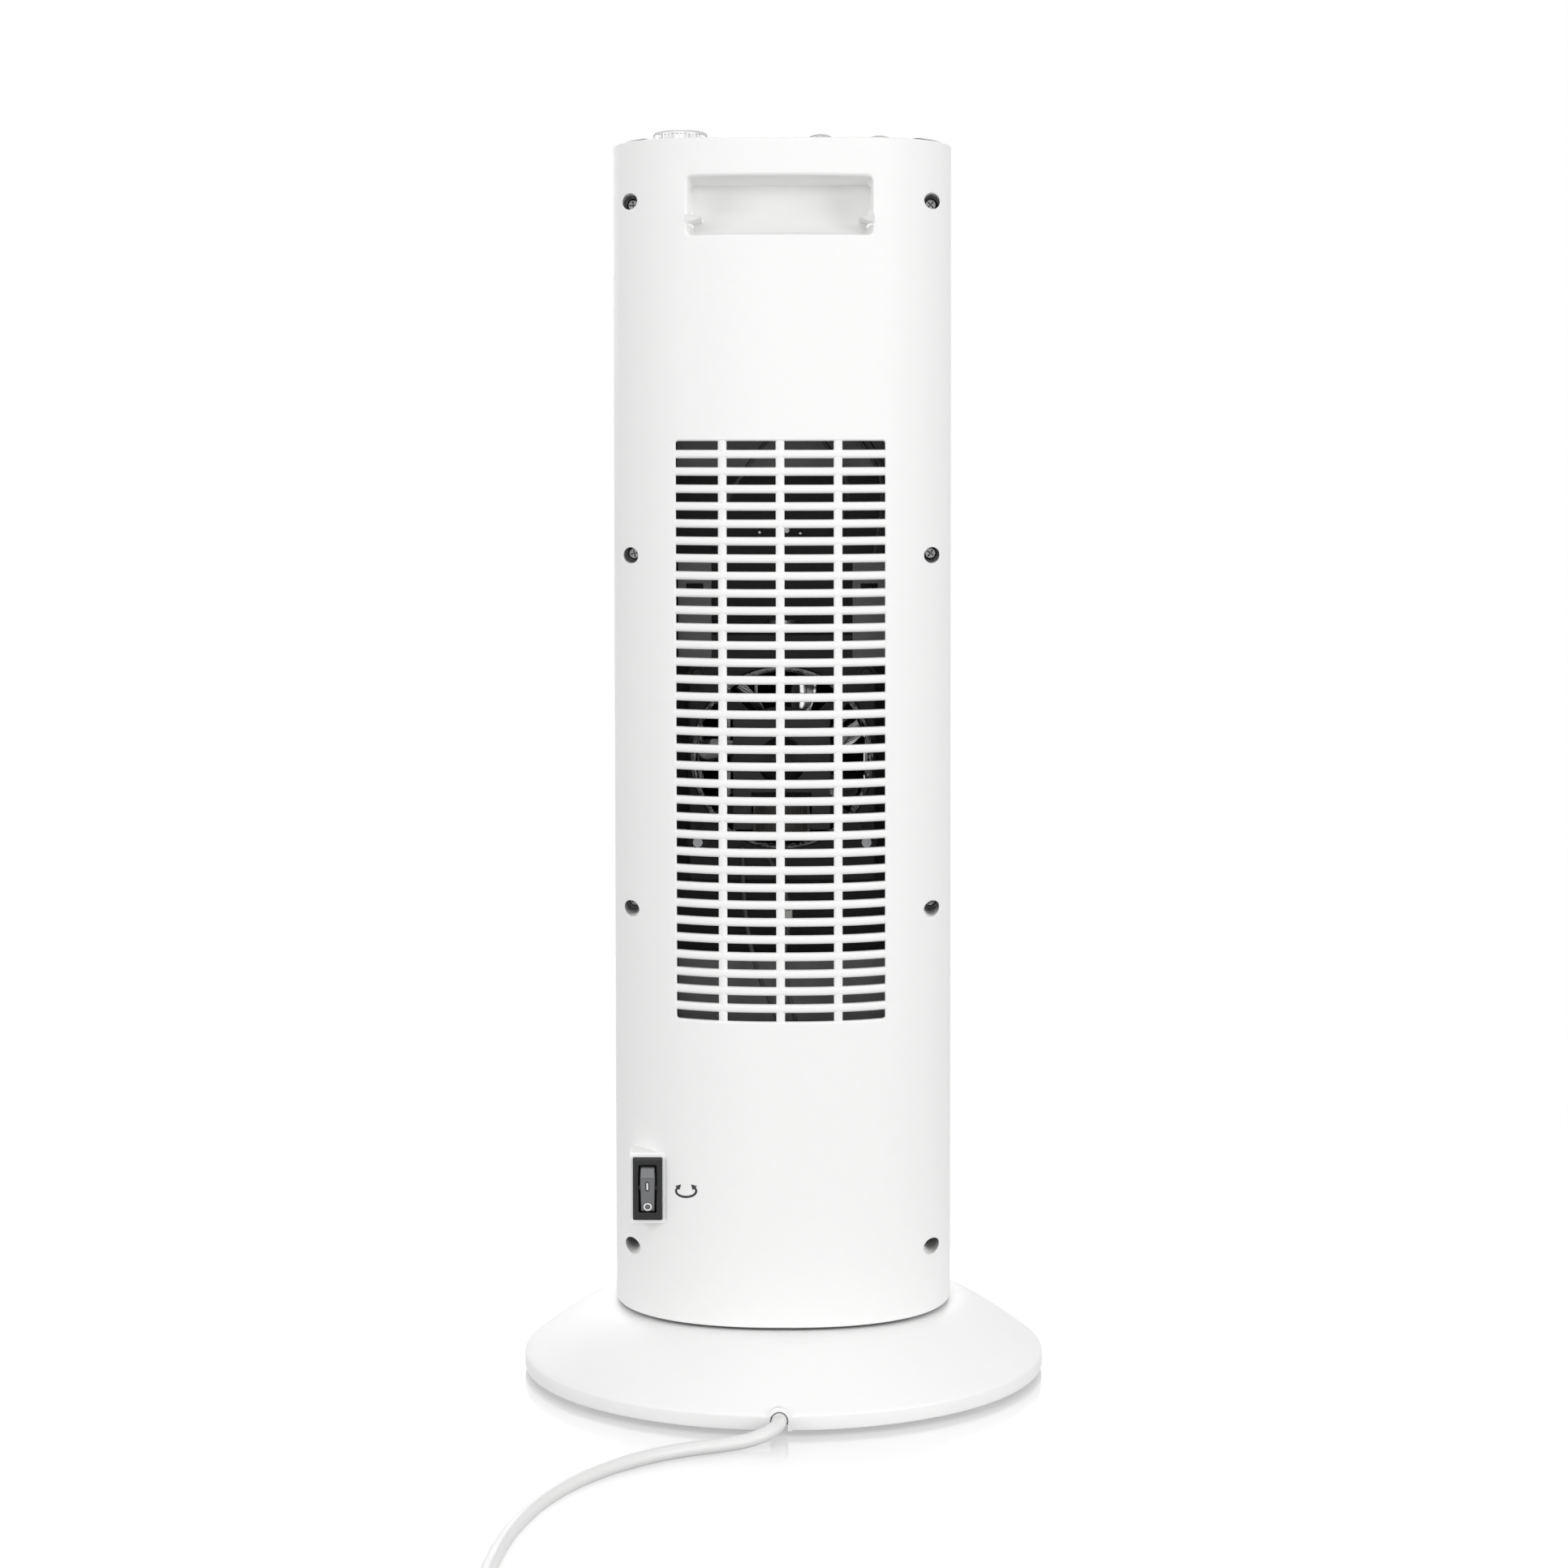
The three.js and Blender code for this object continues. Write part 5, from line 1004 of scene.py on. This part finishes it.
def make_turn_symbol():
    """The printed sign for turning to and fro: a flat arc with an arrowhead at each end."""
    centre_x, centre_z = 46.7, 103.65
    wide, tall, stroke = 5.05, 2.92, 0.58
    level = surface(centre_x, REAR)

    def lifted(pairs, lift):
        points = [(centre_x + u, centre_z + v) for u, v in pairs]
        return [(x, surface(x, REAR) + lift, z + SIGHT_FALL * (surface(x, REAR) - level)) for x, z in points]

    rings = []
    for i in range(49):
        angle = math.radians(148 + 244 * i / 48)
        u, v = math.cos(angle), math.sin(angle)
        line = [((wide + grow) * u, (tall + grow) * v) for grow in (stroke, -stroke)]
        rings.append(lifted(line, 0.05) + lifted(line[::-1], -0.15))
    solids = [loft(rings)]
    for side in (-1, 1):
        head = [(side * u, v) for u, v in ((5.5, 2.45), (2.5, 3.35), (3.3, 0.4))]
        solids.append(loft([lifted(head, -0.15), lifted(head, 0.06)]))
    dress(together(solids), "turn_symbol", BLACK_INK, "tower")


# Base


def tunnel(radius, low_y, high_y, low_z):
    """A round-topped solid along Y at the cord's exit."""
    round_top = rod(radius, low_y, high_y, (0, 0, EXIT_HEIGHT), "Y", 56)
    return fuse(round_top, box((-radius, low_y, low_z), (radius, high_y, EXIT_HEIGHT)))


def make_base():
    """The base cover: a smooth dish with a lip, the hooded cord exit and the arch through it."""
    top = [(17.3, PLATEAU_TOP), (60, PLATEAU_TOP), (80, PLATEAU_TOP - 0.05), (87, PLATEAU_TOP - 0.5),
           (91.5, 35.2), (95.5, 33.7), (100, 31.4), (106, 28.0), (113, 23.6), (119, 19.4), (125.6, 14.6),
           (129.4, 11.75), (130.9, 10.55), (131.6, 9.8), (BASE_RADIUS, 8.9), (BASE_RADIUS, 3.4), (131.7, 2.7),
           (131.1, BASE_LOW)]
    under = [(129.5, BASE_LOW), (129.5, 8.4), (112, 21.1), (92, 33.6), (86, 33.9), (17.3, 33.9)]
    cover = lathe(top + under, BASE_SIDES)
    inside = [(0, BASE_LOW), (130.0, BASE_LOW)] + [(r, z - 0.5) for r, z in reversed(top[1:-5])]
    inside.append((0, PLATEAU_TOP - 0.5))
    bosses = []
    for x, y in BASE_SCREW_PLACES:
        bosses.append(cut(rod(4.6, 4.8, 34.0, (x, y, 0), "Z", 28), rod(1.8, 0, 18.8, (x, y, 0), "Z", 20)))
    bosses = common(together(bosses), lathe(inside, BASE_SIDES))
    edge = [(0, 0), (131.9, 0), (BASE_RADIUS, 2.4), (BASE_RADIUS, 12.4), (131.2, 13.4), (0, 13.6)]
    hood = common(tunnel(6.15, 122.0, 135.0, BASE_LOW), lathe(edge, BASE_SIDES))
    arch = tunnel(ARCH_RADIUS, 116.0, 138.0, -4.0)
    flare = []
    for grow, depth in quarter_round(4):
        pairs = circle(ARCH_RADIUS + ARCH_ROUNDING * grow, 56)
        flare.append([(a, BASE_RADIUS - ARCH_ROUNDING * depth, b + EXIT_HEIGHT) for a, b in pairs])
    flare.append([(x, 138.0, z) for x, _, z in flare[-1]])
    cover = cut(fuse(cover, bosses, hood), arch, loft(flare))
    dress(cover, "base_moulding", BASE, "base", ["base_cover"], 0.5)


def make_base_fittings():
    foot = [(0, 0.6), (5.2, 0.6), (5.6, 0), (6.5, 0), (7, 0.5), (7, 2.4), (2.2, 2.4), (2.2, 6), (0, 6)]
    feet = [lathe(foot, 40, (x, y, 0)) for x, y in ((94, 71), (-94, 71), (-94, -71), (94, -71))]
    dress(together(feet), "rubber_feet", FOOT, "base", [f"foot_{i}" for i in range(1, 5)])
    screws = []
    for x, y in BASE_SCREW_PLACES:
        place = Matrix.Translation((x, y, 3.8)) @ Matrix.Rotation(math.pi, 4, "X")
        screws.append(screw(3.2, 1.4, 1.5, 14.0, place))
    names = [f"base_screw_{i}" for i in range(1, 4)]
    dress(together(screws), "base_fixing_screws", BLACK_STEEL, "base", names)
    ring = [(16.3, 33.9), (17.0, 33.9), (17.0, 36.4), (41.7, 36.4), (42.0, 36.7), (42.0, 37.3), (41.7, 37.6),
            (16.6, 37.6), (16.3, 37.3)]
    dress(lathe(ring, 72), "glide_ring", NYLON, "base", ["slide_ring"])
    lead = sweep(catmull(inner_lead_points(), 5), CORD_RADIUS, 16)
    dress(lead, "lead_in_base", CORD, "base", ["inner_lead"])


def inner_lead_points():
    """The middle of the lead in the base: inward from the relief, then up through the pivot."""
    start, bend, height = RELIEF_INNER - CLEARANCE, 27.0, 9.2
    points = [(0, start, EXIT_HEIGHT), (0, start - CORD_RADIUS, EXIT_HEIGHT), (0, start - 12, height),
              (0, (start + bend) / 2, height)]
    points += [(0, bend * inset, height + bend * rise) for rise, inset in quarter_round(5)]
    return points + [(0, 0, 55.7)]


def screw(head, head_height, shank, length, place):
    """A pan-head screw with a cross recess. It is made with its head up and moved by a matrix."""
    profile = [(0, -length), (shank * 0.4, -length), (shank * 0.75, -length + 1.6)]
    for i in range(int((length - 2.0) / THREAD_PITCH)):
        at = 1.8 - length + THREAD_PITCH * i
        profile += [(shank * 0.78, at), (shank, at + 0.35), (shank * 0.78, at + 0.7)]
    profile += [(shank * 0.85, -0.1), (shank * 0.85, 0.0), (head, 0.0), (head, head_height * 0.35),
                (head * 0.93, head_height * 0.7), (head * 0.72, head_height), (0, head_height)]
    corners = []
    for u, v, z in ((head * 0.6, 0.3, head_height + 0.1), (head * 0.24, 0.2, head_height * 0.38)):
        corners += [(-u, -v, z), (u, -v, z), (u, v, z), (-u, v, z)]
    arms = [turned_about(block(corners), QUARTER * turn + 0.6, "Z", Vector()) for turn in (0, 1)]
    body = cut(lathe(profile, 40), *arms)
    body.data.transform(place)
    return body


def make_shell_screws():
    screws = []
    for i, (x, z) in enumerate(SCREW_PLACES):
        turn = Matrix.Rotation(0.7 * i, 4, "Y") @ Matrix.Rotation(-QUARTER, 4, "X")
        screws.append(screw(3.4, 2.4, 1.6, 18.0, Matrix.Translation((x, SCREW_SEAT, z)) @ turn))
    names = [f"shell_screw_{i}" for i in range(1, 9)]
    dress(together(screws), "shell_fixing_screws", BLACK_STEEL, "tower", names)


# Inside the tower

FAN_Z = 313.0
BLADES = 7
BLADE_FLAT = 7.2


def make_fan_module():
    """The duct that carries the fan: a box with its round inlet, the partition and two shelves."""
    middle = Vector((0, 0, FAN_Z))
    duct = box((-47, -34, FAN_Z - 62), (47, 22, FAN_Z + 62), 1.0)
    partition = box((-66, -12, 173), (66, -9, 481), 0.4)
    shelves = [box((-54, -9.3, low), (54, 58, low + 2.5), 0.4) for low in (173, 478.5)]
    panels = []
    grey_pieces = []
    for low_x, high_x in ((-52.0, -35.3), (35.3, 52.0)):
        grey_pieces.append(cut(
            box((low_x, 20.0, FAN_Z + 48), (high_x, 23.0, FAN_Z + 99), 0.5),
            box((low_x + 4, 18.0, FAN_Z + 84.5), (high_x - 4, 26.0, FAN_Z + 87.5), 0.4),
        ))
        panels.append(box((low_x + 1, -9.5, FAN_Z + 60), (high_x - 1, 19.7, FAN_Z + 63), 0.4))
    # The two wide grey sheets behind the top and bottom rows of slots are painted shade: their grey stands in
    # for the tower's white inner wall lying in shadow there.
    for low, high in ((457.5, 478.2), (175.8, 214.0)):
        grey_pieces.append(box((-52.0, 30.0, low), (52.0, 32.0, high), 0.4))
    dress(together(grey_pieces), "duct_grey_pieces_and_shade_sheets", GREY_AND_PAINTED_SHADE, "tower")
    ring = [(42.9, 21.0), (42.9, 22.4), (43.3, 23.4), (44.4, 23.9), (45.6, 23.5), (46.1, 22.6), (46.1, 21.0)]
    channels = []
    for turn in (0.5, 1.5):
        channel = box((-70, 21.8, FAN_Z - 4.4), (70, 25, FAN_Z + 4.4))
        channels.append(turned_about(channel, QUARTER * turn, "Y", middle))
    dress(cut(lathe(ring, 120, middle, "Y"), *channels), "inlet_lip", LIP, "tower")
    corners = [(x, 0, FAN_Z + z) for x in (-42.3, 42.3) for z in (-42.3, 42.3)]
    bosses = [rod(4.4, 20.0, 22.0, corner, "Y", 28) for corner in corners]
    body = fuse(duct, partition, *shelves, *panels, *bosses)
    cavity = box((-44.5, -40, FAN_Z - 59.5), (44.5, 12, FAN_Z + 59.5))
    inlet = [(0, 6), (43.4, 6), (43.4, 20.9), (46.4, 20.9), (46.4, 30), (0, 30)]
    holes = [rod(1.8, 6, 30, corner, "Y", 20) for corner in corners]
    body = cut(body, cavity, lathe(inlet, 96, middle, "Y"), *holes)
    dress(body, "fan_housing", DARK, "tower", ["fan_duct"])


def make_impeller():
    """Seven twisted blades with rounded tips on a domed hub."""
    middle = Vector((0, 13.5, FAN_Z))
    hub = [(0, -7.5), (12.2, -7.5), (13, -6.7), (13, 5.0), (11.8, 6.9), (9.5, 7.5), (1.9, 7.5), (1.9, 5.5),
           (0, 5.5)]
    rings = []
    for k in range(9):
        share = k / 8
        chord = 17.5 + 4.5 * math.sin(math.pi * share * 0.6) - 19.0 * max(0.0, share - 0.8)
        pitch = 0.78 - 0.28 * share
        ring = []
        for a, b in circle(1.0, 14):
            along, out = a * chord / 2, b * 0.8 + 1.6 * (1 - a * a)
            y = along * math.sin(pitch) + out * math.cos(pitch)
            z = along * math.cos(pitch) - out * math.sin(pitch)
            ring.append((10.4 + 31.4 * share, max(min(y, BLADE_FLAT), -BLADE_FLAT), z))
        rings.append(ring)
    blades = []
    for i in range(BLADES):
        blade = loft(rings)
        blade.data.transform(Matrix.Translation(middle) @ Matrix.Rotation(TURN * i / BLADES, 4, "Y"))
        blades.append(blade)
    body = fuse(lathe(hub, 56, middle, "Y"), *blades)
    dress(body, "fan_blades", GLOSSY, "fan_rotor", ["impeller"])
    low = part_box("motor_shaft")[0].y / MM
    shaft = rod(1.6, low, low + 40, (0, 0, FAN_Z), "Y", 24, 0.3)
    dress(shaft, "fan_shaft", STEEL, "fan_rotor", ["motor_shaft"])


def make_winding():
    """The motor's coil: taped layers on the lower limb of the core, between two flanges."""
    low, high = (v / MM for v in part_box("motor_winding"))
    middle = (low + high) / 2
    flange = 1.4
    turns = 44
    rings = []
    for i in range(turns + 1):
        x = low.x + flange + (high.x - low.x - 2 * flange) * i / turns
        inset = 0.35 if i % 2 else 0.0
        outline = rounded(low.y + inset, high.y - inset, low.z + inset, high.z - inset, 2.4, 5)
        rings.append([(x, y, z) for y, z in outline])
    flanges = [box((x, low.y, low.z), (x + flange, high.y, high.z), 0.3) for x in (low.x, high.x - flange)]
    limb = box((low.x - 1, 28.0 - CLEARANCE, middle.z - 4 - CLEARANCE),
               (high.x + 1, 42.0 + CLEARANCE, middle.z + 4 + CLEARANCE))
    body = cut(fuse(loft(rings), *flanges), limb)
    dress(body, "motor_coil", TAPE, "tower", ["motor_winding"])


def make_heater_core():
    """Aluminium fins folded to and fro between the element's strips, in a frame."""
    low, high = (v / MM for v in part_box("heater_core"))
    columns, fins, side = 6, 30, 2.5
    parts = [box((low.x, low.y, z), (high.x, high.y, z + 3), 0.4) for z in (low.z, high.z - 3)]
    for x in (low.x, high.x - side):
        parts.append(box((x, low.y, low.z + side), (x + side, high.y, high.z - side), 0.3))
    wide = (high.x - low.x - 2 * side) / columns
    tall = (high.z - low.z - 6) / fins
    for column in range(columns):
        x = low.x + side + wide * column
        if column:
            strip = (x - 0.8, low.y + 0.5, low.z + side), (x + 0.8, high.y - 0.5, high.z - side)
            parts.append(box(*strip, 0.2))
        folded = zigzag(x + 0.5, x + wide - 0.5, low.z + 3, tall, fins)
        parts.append(prism(folded, low.y + 1.5, high.y - 1.5, "Y"))
    dress(together(parts), "heating_element", FINS, "tower", ["heater_core"])


def zigzag(left, right, low, tall, count):
    """The section of one folded fin as a closed strip of [x, z] pairs."""
    thick = 0.28
    line = [(left if i % 2 else right, low + tall * i) for i in range(count + 1)]
    return line + [(x, z + thick) for x, z in line[::-1]]


def make_wires():
    """The supply wires up the side of the tower, and the leads that cross behind the grille."""
    supply = [
        (14, 0, 72.3), (24, 6, 92), (46, 16, 124.01), (60, 23, 160.02), (61, 24, 250.03), (61, 24, 340.05),
        (61, 24, 430.07), (60, 22, 490.08), (55, 8, 536.09), (52.5, -6, 572.1), (52.5, -8, 586.1),
        (52.5, -8, 594.4),
    ]
    leads = [
        [(20, 23.2, 268), (19.5, 28, 248), (16.5, 34, 224), (11, 37, 204), (4, 38, 188), (0, 38, 175.6)],
        [(8, 23.2, 265), (1, 26, 252), (-3, 27, 240), (-3, 27, 228), (-1, 35, 212), (-5, 38, 190),
         (-9, 38, 175.6)],
        [(2, 40, 478.4), (10, 38, 468), (23, 36, 450), (30, 28, 436), (34, 10, 422), (34, -7.8, 416)],
        [(-16, 40, 478.4), (-22, 38, 470), (-30, 36, 459), (-33, 28, 446), (-30, 10, 430), (-22, -7.8, 420)],
        [(-34, 42, 478.4), (-43, 40, 466), (-49, 36, 455), (-50, 28, 440), (-48, 16, 424), (-45, 8, 404),
         (-44, -7.8, 396)],
        [(-37.5, 42, 478.4), (-46.5, 40, 466), (-52, 34, 454), (-53, 24, 440), (-50, 12, 424), (-49, 4, 404),
         (-49, -7.8, 396)],
    ]
    parts = [sweep(catmull(supply, 6), 1.5, 14)] + [sweep(catmull(lead, 6), 1.1, 12) for lead in leads]
    dress(together(parts), "tower_wires", WIRE, "tower", ["supply_wire"])
    plug = box((-5.1, 25.0, 231.4), (-0.9, 29.4, 236.9), 0.4)
    dress(plug, "lead_connector", NYLON, "tower")
    places = ((-2.2, 426.6, 1.6, 9.0), (11.5, 425.5, 0.9, 7.0), (-9.0, 425.0, 0.9, 7.0))
    studs = [rod(radius, -9.4, reach, (x, 0, z), "Y", 24, 0.3) for x, z, radius, reach in places]
    dress(together(studs), "partition_studs", STEEL, "tower")


# CAD nodes that stay, with their finish

KEPT = [
    (DARK, "base_plate tip_switch bottom_plate thermostat_body button_switch_1 button_switch_2"),
    (STEEL, "oscillation_motor duct_screw_3 duct_screw_4 thermal_cutout"),
    (NYLON, "sector_gear terminal_block oscillation_pinion tip_plunger"),
    (BLACKENED, "motor_bracket duct_screw_1 duct_screw_2 motor_bearing"),
    (LAMINATED, "motor_core"),
]


def finish_kept():
    for look, names in KEPT:
        for name in names.split():
            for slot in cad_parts[name].material_slots:
                slot.material = look


# Floor and light

WHITE = (1, 1, 1, 1)
FLOOR_HALF = 12.0
ROOM_STRENGTH = 0.45
LAMP_TARGET = (0, 0, 0.3)
LAMPS = {
    "key": ((-0.1, 3.1, 0.75), (1.5, 1.3), 14),
    "left": ((2.3, 1.5, 0.75), (1.4, 1.6), 27.5),
    "right": ((-2.3, 1.5, 0.75), (1.4, 1.6), 36),
    "back": ((0.4, -2.8, 1.5), (2.4, 2.0), 34),
    "top": ((0.1, 1.7, 2.5), (2.2, 1.6), 15),
}


def maths(tree, operation, *values):
    return add_node(tree, "Math", dict(enumerate(values)), operation=operation).outputs["Value"]


def seen_directly(tree):
    """1 for what the camera sees, itself or in a mirror, and 0 for other light."""
    rays = add_node(tree, "LightPath", {}).outputs
    return maths(tree, "MAXIMUM", rays["Is Camera Ray"], rays["Is Glossy Ray"])


def fade(tree, value, low, high, first, last):
    """A soft change from first to last while a value goes from low to high."""
    inputs = {"Value": value, "From Min": low, "From Max": high, "To Min": first, "To Max": last}
    return add_node(tree, "MapRange", inputs, interpolation_type="SMOOTHSTEP").outputs["Result"]


def mixed(tree, share, first, second):
    return add_node(tree, "MixShader", {"Fac": share, 1: first, 2: second}).outputs["Shader"]


def make_stage():
    """A pale floor that keeps the object's shadow and turns plain white away from it."""
    mesh = bpy.data.meshes.new("floor")
    corners = [(FLOOR_HALF * x, FLOOR_HALF * y, 0) for x, y in ((-1, -1), (1, -1), (1, 1), (-1, 1))]
    mesh.from_pydata(corners, [], [(0, 1, 2, 3)])
    floor = linked("floor", mesh)
    floor.location.z = -0.0003
    look = bpy.data.materials.new("floor")
    look.use_nodes = True
    tree = look.node_tree
    seen = seen_directly(tree)
    place = add_node(tree, "TexCoord", {}).outputs["Object"]
    away = add_node(tree, "VectorMath", {0: place}, operation="LENGTH").outputs["Value"]
    mirror = fade(tree, away, 0.13, 0.28, 0.5, 0.0)
    glow = maths(tree, "MULTIPLY_ADD", mirror, -0.52, 0.7)
    shader = tree.nodes["Principled BSDF"]
    fill(tree, shader, {
        "Base Color": (0.42, 0.42, 0.42, 1), "Roughness": 0.12, "Specular IOR Level": mirror,
        "Emission Color": WHITE, "Emission Strength": maths(tree, "MULTIPLY", seen, glow),
    })
    share = maths(tree, "MULTIPLY", fade(tree, away, 0.35, 0.9, 0.0, 1.0), seen)
    white = add_node(tree, "Emission", {}).outputs["Emission"]
    surface_mix = mixed(tree, share, shader.outputs["BSDF"], white)
    fill(tree, tree.nodes["Material Output"], {"Surface": surface_mix})
    floor.data.materials.append(look)


def make_light():
    """A white room, which lights the object less than it shows, and five soft lamps."""
    world = bpy.data.worlds.new("studio")
    bpy.context.scene.world = world
    world.use_nodes = True
    tree = world.node_tree
    tree.nodes.clear()
    room, white = [add_node(tree, "Background", {"Color": WHITE, "Strength": strength}).outputs["Background"]
                   for strength in (ROOM_STRENGTH, 1.0)]
    add_node(tree, "OutputWorld", {"Surface": mixed(tree, seen_directly(tree), room, white)})
    for name, (place, size, power) in LAMPS.items():
        data = bpy.data.lights.new(name, "AREA")
        data.shape = "RECTANGLE"
        data.size, data.size_y = size
        data.energy = power
        lamp = linked(name, data)
        lamp.location = place
        lamp.rotation_mode = "QUATERNION"
        lamp.rotation_quaternion = (Vector(LAMP_TARGET) - Vector(place)).to_track_quat("-Z", "Y")


bpy.context.scene.view_settings.view_transform = "Standard"
make_camera()
make_cords()
make_rear_shell()
make_front_shell()
make_outlet_grille()
make_top_panel()
make_knob()
make_buttons()
make_switch()
make_rocker()
make_turn_symbol()
make_base()
make_base_fittings()
make_shell_screws()
make_fan_module()
make_impeller()
make_winding()
make_heater_core()
make_wires()
finish_kept()
make_stage()
make_light()
